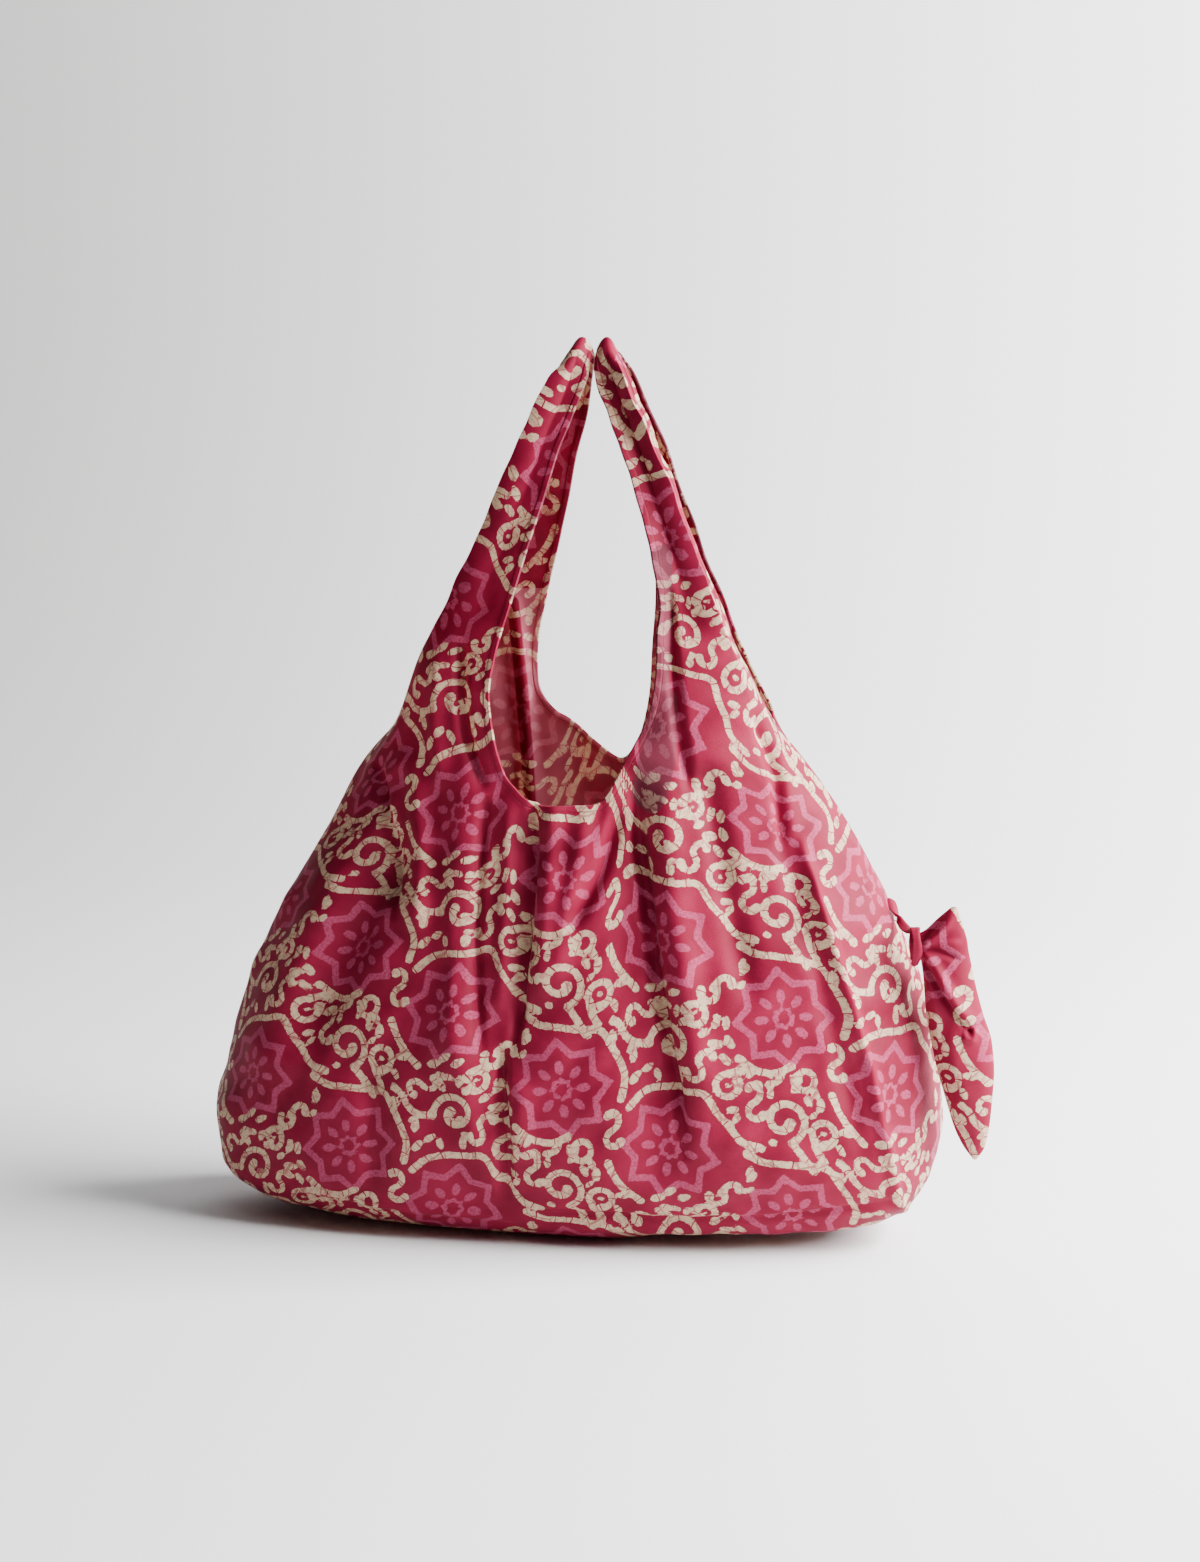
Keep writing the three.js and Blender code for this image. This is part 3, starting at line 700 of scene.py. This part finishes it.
# Above this height the strands are folded double, so that only the right side shows
DOUBLE_FROM = 470
CRUMPLE = {
    "waves": 14, "shortest": 22, "longest": 75, "rise": 0.45, "wander": 6, "wander_length": 31,
}
CRUMPLE_SEEDS = {"front": 5, "back": 4, "pouch": 3}
# Where creases and crumples start and end, in shares of their length or in millimetres
CREASE_ENDS = (-0.1, 0.15, 0.8, 1.1)
CREASE_FADES = {"seam": (2, 20), "foot": (4, 20), "middle": (2, 14)}
CRUMPLE_FADES = {"seam": (0, 12), "foot": (3, 15)}
STRAND_FOLD_ENDS = (0.05, 0.35, 0.9, 1)


def crumple(u, v, seed):
    """Slight unevenness over the cloth, as crossing ripples."""
    chance = np.random.default_rng(seed)
    rise = np.zeros(u.shape)
    for _ in range(CRUMPLE["waves"]):
        turn, phase = chance.uniform(0, 2 * math.pi, 2)
        length = chance.uniform(CRUMPLE["shortest"], CRUMPLE["longest"])
        wander = CRUMPLE["wander"] * np.sin((u - v) / CRUMPLE["wander_length"] + phase)
        along = u * math.cos(turn) + v * math.sin(turn) + wander
        rise += np.sin(2 * math.pi * along / length + phase) * length / CRUMPLE["longest"]
    return CRUMPLE["rise"] * rise


def from_path(x, z, path):
    """Distance to a path, and how far along it from 0 to 1, beyond it too."""
    path = np.array(path, float)
    lengths = np.linalg.norm(np.diff(path, axis=0), axis=1)
    nearest, along = np.full(x.shape, np.inf), np.zeros(x.shape)
    for i, (a, b) in enumerate(zip(path[:-1], path[1:])):
        d = b - a
        t = ((x - a[0]) * d[0] + (z - a[1]) * d[1]) / (d @ d)
        near = np.clip(t, 0, 1)
        reach = np.hypot(x - a[0] - near * d[0], z - a[1] - near * d[1])
        closer = reach < nearest
        nearest[closer] = reach[closer]
        low, high = (0 if i else -np.inf), (1 if i < len(lengths) - 1 else np.inf)
        run = lengths[:i].sum() + np.clip(t, low, high)[closer] * lengths[i]
        along[closer] = run / lengths.sum()
    return nearest, along


def crease_rise(crease, x, z):
    """How far one crease lifts the cloth."""
    aside, along = from_path(x, z, crease["path"])
    ends = between(along, *CREASE_ENDS)
    return crease["rise"] * np.exp(-((aside / crease["width"]) ** 2)) * ends


def distance_to(points, targets):
    """Distance from each point to the nearest target."""
    tree = KDTree(len(targets))
    for i, target in enumerate(targets):
        tree.insert(target, i)
    tree.balance()
    return np.array([tree.find(point)[2] for point in points])


def rim_edges(quads):
    """The edges that only one face has, in its direction."""
    edges = np.vstack([quads[:, [k, (k + 1) % 4]] for k in range(4)])
    ordered = np.sort(edges, axis=1)
    _, first, uses = np.unique(ordered, axis=0, return_index=True, return_counts=True)
    return edges[first[uses == 1]]


class Cloth:
    """A panel's cloth as a fine sheet, with its print and sewing as distances in millimetres."""

    def __init__(self, panel):
        flat = np.column_stack([panel.print_places(), panel.points[:, 2]])
        faces = panel.all_faces()
        self.points, self.quads = finer(panel.points, faces)
        self.places = finer(flat, faces)[0][:, :2]
        on_seam, self.across, self.up = finer(panel.fields(), faces)[0].T
        edges = rim_edges(self.quads)
        hemmed = on_seam[edges].mean(axis=1) < 0.5
        self.hem_edges = edges[hemmed]
        seams = np.unique(edges[~hemmed])
        self.seam = distance_to(self.points, self.points[seams])
        self.distances = print_distances(self.places)
        self.crease(panel.name)
        hem = distance_to(self.points, self.points[np.unique(self.hem_edges)])
        self.distances["hem"] = hem
        self.hem_rise = HEM_SHOWN * (1 - smoothstep(hem, HEM_WIDTH - HEM_STEP, HEM_WIDTH))

    def outward(self):
        return outward_directions([(self.points, split(self.quads))])[0]

    def crease(self, name):
        """Lays creases, the strands' folds and slight crumples, and finds turned cloth and painted
        sheen.
        """
        x, y, z = self.points.T
        rise = sum(crease_rise(crease, x, z) for crease in CREASES[name])
        fade = smoothstep(self.seam, *CREASE_FADES["seam"]) * smoothstep(z, *CREASE_FADES["foot"])
        fade = fade * smoothstep(y * SIDES[name], *CREASE_FADES["middle"])
        uneven = crumple(*self.places.T, CRUMPLE_SEEDS[name])
        uneven = uneven * smoothstep(self.seam, *CRUMPLE_FADES["seam"])
        uneven = uneven * smoothstep(z, *CRUMPLE_FADES["foot"])
        on_strand = between(self.up, *STRAND_FOLD_ENDS)
        for side, fold in STRAND_FOLDS[name].items():
            tent = np.minimum(self.across / fold["peak"], (1 - self.across) / (1 - fold["peak"]))
            flatter = fold["flatten"] * (tent - 1 + (2 * self.across - 1) ** 2)
            rise = rise + np.where(SIDEWAYS[side] * x > 0, flatter * on_strand, 0)
        # Patches in the patch colours: turned-over cloth on the back, painted sheen on the front
        turned = np.full(x.shape, FAR)
        for patch in TURNED_AND_PAINTED_SHEEN[name]:
            reach = from_path(x, z, patch["path"])[0] - patch["half"]
            turned = np.minimum(turned, np.where(y * SIDES[name] > 0, reach, FAR))
        self.distances["turned"] = turned
        self.points += self.outward() * (fade * rise + uneven)[:, None]

    def inside(self):
        """The wrong side's points and faces, with a half round rim up to the right side's edge."""
        edges = self.hem_edges
        rim = np.unique(edges)
        outward = self.outward()
        tangent = np.zeros_like(self.points)
        step = self.points[edges[:, 1]] - self.points[edges[:, 0]]
        np.add.at(tangent, edges[:, 0], step)
        np.add.at(tangent, edges[:, 1], step)
        beyond = unit(np.cross(unit(tangent), outward))[rim]
        inner = self.points - outward * (CLOTH_SHOWN + self.hem_rise)[:, None]
        depth = CLOTH_SHOWN + HEM_SHOWN
        middle = self.points[rim] - outward[rim] * depth / 2 + beyond * depth / 2
        top = self.points[rim] + outward[rim] * HEM_SHOWN
        count = len(self.points)
        number = np.full(count, -1)
        number[rim] = np.arange(len(rim))
        a, b = edges.T
        ma, mb = count + number[a], count + number[b]
        ta, tb = ma + len(rim), mb + len(rim)
        round_rim = [np.stack([b, a, ma, mb], 1), np.stack([mb, ma, ta, tb], 1)]
        faces = np.vstack([self.quads, *round_rim])[:, ::-1]
        return np.vstack([inner, middle, top]), faces, np.tile(rim, 2)


def print_distances(places):
    """The print at places on the cloth, laid along its own axes."""
    u, v = places.T
    cos, sin = math.cos(PRINT_SLOPE), math.sin(PRINT_SLOPE)
    u, v = u * cos - v * sin, u * sin + v * cos
    wax, along = wax_fields(u, v)
    return {"wax": wax, "along": along, "star": star_field(u, v)}


def store(made, distances):
    """Stores distances at an object's points, for its material."""
    for name, values in distances.items():
        layer = made.data.attributes.new(name, "FLOAT", "POINT")
        layer.data.foreach_set("value", values.astype(np.float32))


def srgb(red, green, blue):
    """A colour as it looks on a screen, from 0 to 255, as the shader's numbers."""
    shares = np.array((red, green, blue)) / 255
    linear = np.where(shares <= 0.04045, shares / 12.92, ((shares + 0.055) / 1.055) ** 2.4)
    return (*map(float, linear), 1.0)


class Shader:
    """A material's node tree and short ways to add to it."""

    def __init__(self, name):
        self.material = bpy.data.materials.new(name)
        self.material.use_nodes = True
        self.tree = self.material.node_tree
        self.tree.nodes.clear()

    def give(self, socket, value):
        """Links a socket to another, or sets it."""
        if isinstance(value, bpy.types.NodeSocket):
            self.tree.links.new(value, socket)
        else:
            socket.default_value = value

    def node(self, kind, settings=(), **inputs):
        made = self.tree.nodes.new(f"ShaderNode{kind}")
        for name, value in dict(settings).items():
            setattr(made, name, value)
        for name, value in inputs.items():
            self.give(made.inputs[name.replace("_", " ")], value)
        return made

    def math(self, operation, *values):
        made = self.node("Math", {"operation": operation})
        for socket, value in zip(made.inputs, values):
            self.give(socket, value)
        return made.outputs[0]

    def times(self, first, second):
        return self.math("MULTIPLY", first, second)

    def plus(self, first, second):
        return self.math("ADD", first, second)

    def field(self, name):
        return self.node("Attribute", {"attribute_name": name}).outputs["Fac"]

    def below(self, value, low, high):
        """1 under low, 0 over high."""
        made = self.node("MapRange", {"interpolation_type": "SMOOTHSTEP"}, Value=value)
        for name, number in (("From Min", low), ("From Max", high), ("To Min", 1), ("To Max", 0)):
            made.inputs[name].default_value = number
        return made.outputs["Result"]

    def mix(self, share, first, second):
        made = self.node("Mix", {"data_type": "RGBA", "clamp_factor": True})
        for index, value in ((0, share), (6, first), (7, second)):
            self.give(made.inputs[index], value)
        return made.outputs[2]

    def noise(self, vector, scale, detail=2.0, roughness=0.5):
        made = self.node("TexNoise", Vector=vector, Scale=scale, Detail=detail, Roughness=roughness)
        return made.outputs["Fac"]

    def patches(self, vector, name):
        """Soft-edged patches of one of the cloth's layers of noise."""
        layer = PATCHES[name]
        noise = self.noise(vector, layer["scale"], layer["detail"], layer["roughness"])
        return self.times(self.below(noise, layer["full"], layer["none"]), layer["share"])


# The rows for the inner faces, wrong side and turned in, are lighter than the outside's: the wrong
# side is paler, and both are also painted lighter, as painted light for the light that comes
# through the sheer cloth into the bag.
COLOURS = named(
    "face ground shade pink wax",
    ("right side", (141, 22, 56), (123, 14, 45), (176, 72, 106), (211, 189, 154)),
    ("wrong side", (218, 128, 146), (206, 112, 132), (228, 156, 170), (246, 228, 206)),
    # The wrong side as seen on the outside, also used for the front's painted sheen
    ("turned out", (122, 46, 64), (98, 32, 48), (134, 66, 82), (166, 132, 118)),
    ("turned in", (176, 40, 74), (150, 28, 58), (196, 84, 116), (228, 200, 168)),
)
# Scales are per metre. Edges say from where to where something fades: in millimetres, but for
# the cracks, where they are shares of a piece or a cell.
PATCHES = named(
    "name scale detail roughness full none share",
    ("shade", 26.0, 3.0, 0.5, 0.35, 0.65, 1.0),
    ("worn star", 520.0, 4.0, 0.75, 0.44, 0.62, 0.6),
    ("faint wax", 240.0, 4.0, 0.7, 0.38, 0.55, 0.55),
    ("speckle", 1100.0, 2.0, 0.5, 0.38, 0.6, 0.25),
)
TURNED_AND_PAINTED_SHEEN_EDGE = (-0.6, 0.6)
STAR_EDGE = (-0.2, 0.5)
WAX_EDGE = (-0.2, 0.25)
WOBBLE = {"scale": 330.0, "size": 1.8}
CRACKS = {"scale": 45.0, "jitter": 14.0, "edge": (0.018, 0.045)}
CRACKLE = {"scale": 55.0, "edge": (0.012, 0.03), "share": 0.6}
STITCH = {"from_edge": 4.2, "edge": (0.25, 0.8), "share": 0.5, "depth": 1.5}
CREPE = {"scale": 620.0, "detail": 3.0, "roughness": 0.6, "stretch": 2.3}
PUCKER = {"scale": 160.0, "edge": (2.0, 7.0), "depth": 3.0}
BUMP = {"Strength": 0.6, "Distance": 0.0004}
SURFACE = {"Sheen_Weight": 0.02, "Sheen_Roughness": 0.4, "Specular_IOR_Level": 0.12}


def printed_material(name, face, patch_colours, roughness, through):
    """Crepe cloth with a batik print, from the distances that its surface stores."""
    s = Shader(name)
    place = s.node("UVMap", {"uv_map": "Print"}).outputs["UV"]
    # Where the patch colours show: turned-over cloth, and the front's painted sheen
    turned = s.below(s.field("turned"), *TURNED_AND_PAINTED_SHEEN_EDGE)
    ground, shade, pink, wax = (
        s.mix(turned, srgb(*COLOURS[face][part]), srgb(*COLOURS[patch_colours][part]))
        for part in ("ground", "shade", "pink", "wax")
    )
    wobble = s.noise(place, WOBBLE["scale"])
    wobble = s.math("MULTIPLY_ADD", wobble, WOBBLE["size"], -WOBBLE["size"] / 2)
    colour = s.mix(s.patches(place, "shade"), ground, shade)
    star = s.below(s.plus(s.field("star"), wobble), *STAR_EDGE)
    worn = s.plus(s.patches(place, "worn star"), 1 - PATCHES["worn star"]["share"])
    colour = s.mix(s.times(star, worn), colour, pink)
    jitter = s.noise(place, CRACKS["scale"], 1.0)
    jitter = s.math("MULTIPLY_ADD", jitter, CRACKS["jitter"], s.field("along"))
    turns = s.math("FRACT", s.math("DIVIDE", jitter, WAX_CRACK_EVERY))
    cracks = s.below(s.math("ABSOLUTE", s.math("SUBTRACT", turns, 0.5)), *CRACKS["edge"])
    edges = {"feature": "DISTANCE_TO_EDGE"}
    cells = s.node("TexVoronoi", edges, Vector=place, Scale=CRACKLE["scale"], Randomness=1.0)
    crackle = s.below(cells.outputs["Distance"], *CRACKLE["edge"])
    crackle = s.math("MAXIMUM", cracks, s.times(crackle, CRACKLE["share"]))
    light = s.below(s.plus(s.field("wax"), wobble), *WAX_EDGE)
    light = s.times(light, s.math("SUBTRACT", 1.0, crackle))
    colour = s.mix(light, colour, s.mix(s.patches(place, "faint wax"), wax, pink))
    colour = s.mix(s.patches(place, "speckle"), colour, shade)
    stitch = s.math("ABSOLUTE", s.math("SUBTRACT", s.field("hem"), STITCH["from_edge"]))
    sewn = s.below(stitch, *STITCH["edge"])
    colour = s.mix(s.times(sewn, STITCH["share"]), colour, shade)
    stretched = s.node("Mapping", Vector=place, Scale=(1.0, CREPE["stretch"], 1.0))
    crepe = s.noise(stretched.outputs[0], CREPE["scale"], CREPE["detail"], CREPE["roughness"])
    height = s.math("SUBTRACT", crepe, s.times(sewn, STITCH["depth"]))
    pucker = s.below(s.field("hem"), *PUCKER["edge"])
    pucker = s.times(s.noise(place, PUCKER["scale"]), pucker)
    height = s.math("MULTIPLY_ADD", pucker, PUCKER["depth"], height)
    normal = s.node("Bump", Height=height, **BUMP).outputs["Normal"]
    skin = s.node(
        "BsdfPrincipled", Base_Color=colour, Roughness=roughness, Normal=normal, **SURFACE
    )
    glow = s.node("BsdfTranslucent", Color=colour, Normal=normal)
    both = s.node("MixShader", Fac=through)
    s.tree.links.new(skin.outputs[0], both.inputs[1])
    s.tree.links.new(glow.outputs[0], both.inputs[2])
    s.node("OutputMaterial", Surface=both.outputs[0])
    return s.material


printed = printed_material("batik", "right side", "turned out", 0.55, 0.2)
# The inner faces' colours are painted lighter: painted light inside the bag, besides the light
# through the cloth.
wrong_side = printed_material("batik_wrong_side", "wrong side", "turned in", 0.6, 0.7)

panels = [Panel("front"), Panel("back")]
for panel in panels:
    panel.smooth_roots()
directions = outward_directions([(p.points, p.triangles()) for p in panels])
for panel, outward in zip(panels, directions):
    x, _, z = panel.points.T
    fade = smoothstep(np.abs(panel.points[:, 1] - seam_depth(z)), 0, SEAM_FADE)
    fade = fade * smoothstep(z, 1, FOOT_FADE)
    rise = sum(fold_rise(fold, x, z) for fold in FOLDS[panel.name])
    panel.points += outward * (fade * rise)[:, None]

for panel in panels:
    cloth = Cloth(panel)
    points = cloth.points + cloth.outward() * cloth.hem_rise[:, None]
    right_side = made_object(f"{panel.name}_cloth", points, cloth.quads, cloth.places, printed)
    store(right_side, cloth.distances)
    points, faces, rim = cloth.inside()
    places = np.vstack([cloth.places, cloth.places[rim]])
    inside = made_object(f"{panel.name}_wrong_side", points, faces, places, wrong_side)
    double = DOUBLE_FROM - cloth.points[:, 2]
    cloth.distances["turned"] = np.minimum(cloth.distances["turned"], double)
    store(inside, {name: np.append(at, at[rim]) for name, at in cloth.distances.items()})
    inside.data.materials.append(printed)
    on_rim = (np.arange(len(faces)) >= len(cloth.quads)).astype(int)
    inside.data.polygons.foreach_set("material_index", on_rim)
    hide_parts(f"{panel.name}_panel")
    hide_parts(f"{panel.name}_panel")


# The pouch and its tie
POUCH_DEPTH = -28
POUCH_SECTIONS = curves(
    "height left right thick",
    (69, 288, 290.5, 2),
    (78, 281, 296, 9),
    (92, 274, 299, 14),
    (114, 267, 301, 20),
    (134, 261, 302, 23),
    (156, 256, 300, 24),
    (178, 252, 293, 23),
    (200, 250, 287, 20),
    (214, 248, 284, 16),
    (223, 241, 282, 13),
    (230, 241, 281, 12),
    (237, 251, 279, 12),
    (246, 260, 276, 9),
    (254, 269, 273, 3),
)
POUCH_FOOT, POUCH_TIP = 69, 254
POUCH_ROWS = 140
POUCH_SIDES = 96
POUCH_EDGE = 1.35
POUCH_CRUMPLE = 0.8
POUCH_FADE = (4, 14)


def closed_rings(rings):
    """Quads round a stack of rings, and its points."""
    rows, sides = rings.shape[:2]
    numbers = np.arange(rows * sides).reshape(rows, sides)
    turned = np.roll(numbers, -1, axis=1)
    quads = np.stack([numbers[:-1], turned[:-1], turned[1:], numbers[1:]], axis=-1)
    return rings.reshape(-1, 3), quads.reshape(-1, 4)


POUCH_CREASES = records(
    "width rise path",
    (1.9, -5.5, ((247, 221), (254, 208), (264, 192), (273, 179), (281, 169))),
    (4.2, 5, ((250, 223), (259, 211), (269, 195), (279, 181), (288, 172))),
    (2.4, 3.2, ((280, 162), (287, 160), (290, 167))),
    (1.7, -4, ((283, 167), (286, 165))),
    (1.8, -4.5, ((247, 229), (256, 238), (266, 249))),
    (3, 3, ((249, 226), (260, 235), (271, 246))),
    (2, -3, ((248, 224), (260, 223), (276, 217))),
    (2.2, 2.4, ((248, 226), (262, 229), (277, 229))),
    (5, 3.5, ((246, 220), (252, 205), (258, 180), (262, 150))),
    (1.8, -2.6, ((246, 221), (249, 204), (252, 186))),
    (6, 2, ((270, 168), (274, 140), (284, 110))),
    (4, -2, ((262, 140), (272, 110), (286, 84))),
)
PRINT_ON_POUCH = (-243, -64)
TIE_PATH = table(
    "x y z",
    (221, 3, 253), (225.5, -3, 246), (230, -10, 240), (235, -18, 236), (239.5, -25, 234.5),
    (242.5, -31, 235), (243.6, -35.4, 230), (243.8, -35.6, 221), (243.6, -29, 215.2),
    (243.4, -22, 218), (243.2, -20.4, 227), (243.2, -24, 236), (243.8, -31, 237.4),
    (245.4, -36.8, 232), (246.2, -37.2, 224), (245.4, -36, 217), (243.5, -34.5, 211),
)
TIE = {
    "half_wide": 3.4, "half_thick": 1.1, "sides": 16, "steps": 10, "closing": 0.02, "end": 0.05,
    "wave": 0.14, "waves": 37, "ripple": 0.25, "twist": 9,
}
KNOT_CENTRE = (243.6, -28, 226)


def tie_band(path, facing):
    """The tie as a soft folded band along a path, pinched almost shut at its ends."""
    tangent = unit(np.gradient(path, axis=0))
    across = unit(np.cross(tangent, facing))
    normal = np.cross(across, tangent)
    t = np.linspace(0, 1, len(path))
    ends = np.clip(np.minimum(t, 1 - t) / TIE["closing"], TIE["end"], 1) ** 0.5
    angle = np.linspace(0, 2 * math.pi, TIE["sides"], endpoint=False)
    wide = TIE["half_wide"] * ends * (1 + TIE["wave"] * np.sin(t * TIE["waves"]))
    ripple = 1 + TIE["ripple"] * np.sin(3 * angle + TIE["twist"] * t[:, None])
    thick = TIE["half_thick"] * ends[:, None] * ripple
    return (
        path[:, None]
        + across[:, None] * (np.cos(angle) * wide[:, None])[..., None]
        + normal[:, None] * (np.sin(angle) * thick)[..., None]
    )


z = np.linspace(POUCH_FOOT, POUCH_TIP, POUCH_ROWS + 1)[:, None]
angle = np.linspace(0, 2 * math.pi, POUCH_SIDES, endpoint=False)[None]
left, right, thick = (POUCH_SECTIONS[name](z) for name in ("left", "right", "thick"))
x = (left + right) / 2 + (right - left) / 2 * np.cos(angle)
z = z + 0 * x
side, bulge = np.sign(np.sin(angle)), np.abs(np.sin(angle))
rise = sum(crease_rise(crease, x, z) for crease in POUCH_CREASES)
rise = rise + crumple(x, z, CRUMPLE_SEEDS["pouch"]) * POUCH_CRUMPLE
rise = rise * smoothstep(thick, *POUCH_FADE) * bulge**0.5
y = POUCH_DEPTH + side * (thick / 2 * bulge**POUCH_EDGE + rise)
points, quads = closed_rings(np.stack([x, y, z], axis=-1))
places = points[:, [0, 2]] + PRINT_ON_POUCH
pouch = made_object("pouch_cloth", points, quads, places, printed)
far = np.full(len(points), FAR)
store(pouch, {**print_distances(places), "hem": far, "turned": far})
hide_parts("pouch")

path = path_through(np.column_stack([*TIE_PATH.values()]), TIE["steps"])
points, quads = closed_rings(tie_band(path, unit(path - KNOT_CENTRE)))
tie = made_object("tie_cloth", points, quads, points[:, [1, 2]], printed)
far = np.full(len(points), FAR)
store(tie, dict.fromkeys(("wax", "along", "star", "hem", "turned"), far))
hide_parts("pouch_tie")

# Floor, light and camera, in metres
AZIMUTH, ELEVATION, DISTANCE = math.radians(11), math.radians(9), 2.4
AIM = Vector((0, 0, 0.330))
OFF_CENTRE = {"right": 0.00736, "up": 0.00294}
LENS = 75.15
SENSOR_WIDTH = 36
WORLD = {"Color": (0.95, 0.96, 1, 1), "Strength": 0.04}
FLOOR = {"half_wide": 4, "front": -1.0, "back": 1.2, "bend": 1.2, "wall_top": 4.5}
BEND_ANGLES = np.linspace(0.1, math.pi / 2, 16)
# The paper is painted darker towards the left, from its right colour to its left one: painted shade
# for the window light falling off.
PAPER = {
    "right": (0.88, 0.885, 0.895, 1), "left": (0.6, 0.595, 0.59, 1), "painted_shade_leftwards": (-1.6, 1.0),
    "patches": (0.8, 0.8, 0.8, 1), "share": 0.12,
}
LAMPS = records(
    "name place aim size watts",
    ("window", (2.2, -0.05, 1.6), (0, 0, 0.25), (2.0, 1.8), 500),
    ("ceiling", (0.3, -0.9, 2.4), (0, 0, 0.3), (1.2, 1.2), 6),
    ("backdrop", (1.7, 0.8, 1.9), (1.3, 2.4, 0.9), (1.0, 1.0), 80),
)


def stand(made, place, direction):
    """Puts a camera or lamp in its place, facing one way."""
    made.location = place
    made.rotation_mode = "QUATERNION"
    made.rotation_quaternion = direction.to_track_quat("-Z", "Y")


rightward = Vector((math.cos(AZIMUTH), math.sin(AZIMUTH), 0))
forward = Vector((-rightward.y, rightward.x, 0)) * math.cos(ELEVATION)
forward.z = -math.sin(ELEVATION)
upward = rightward.cross(forward)
middle = AIM + rightward * OFF_CENTRE["right"] + upward * OFF_CENTRE["up"]
camera = add_object("camera", bpy.data.cameras.new("camera"))
camera.data.sensor_width = SENSOR_WIDTH
camera.data.lens = LENS
stand(camera, middle - forward * DISTANCE, forward)
bpy.context.scene.camera = camera

world = bpy.data.worlds.new("studio")
world.use_nodes = True
for name, value in WORLD.items():
    world.node_tree.nodes["Background"].inputs[name].default_value = value
bpy.context.scene.world = world

back, bend = FLOOR["back"], FLOOR["bend"]
profile = [(FLOOR["front"], 0.0), (back, 0.0)]
profile += [(back + bend * math.sin(t), bend * (1 - math.cos(t))) for t in BEND_ANGLES]
profile.append((back + bend, FLOOR["wall_top"]))
points = [(x, y, z) for y, z in profile for x in (-FLOOR["half_wide"], FLOOR["half_wide"])]
faces = [(2 * i, 2 * i + 1, 2 * i + 3, 2 * i + 2) for i in range(len(profile) - 1)]
floor_mesh = bpy.data.meshes.new("floor")
floor_mesh.from_pydata(points, [], faces)
floor_mesh.shade_smooth()
floor = add_object("floor", floor_mesh)
paper = Shader("paper")
place = paper.node("TexCoord").outputs["Object"]
sideways = paper.node("SeparateXYZ", Vector=place).outputs["X"]
# Painted shade: the paper darkens towards the left
tone = paper.mix(paper.below(sideways, *PAPER["painted_shade_leftwards"]), PAPER["right"], PAPER["left"])
patchy = paper.times(paper.noise(place, 3.0, 4.0, 0.6), PAPER["share"])
tone = paper.mix(patchy, tone, PAPER["patches"])
skin = paper.node("BsdfPrincipled", Base_Color=tone, Roughness=0.85, Specular_IOR_Level=0.2)
paper.node("OutputMaterial", Surface=skin.outputs[0])
floor_mesh.materials.append(paper.material)

for row in LAMPS:
    lamp = bpy.data.lights.new(row["name"], "AREA")
    lamp.shape = "RECTANGLE"
    lamp.size, lamp.size_y = row["size"]
    lamp.energy = row["watts"]
    place = Vector(row["place"])
    stand(add_object(row["name"], lamp), place, Vector(row["aim"]) - place)
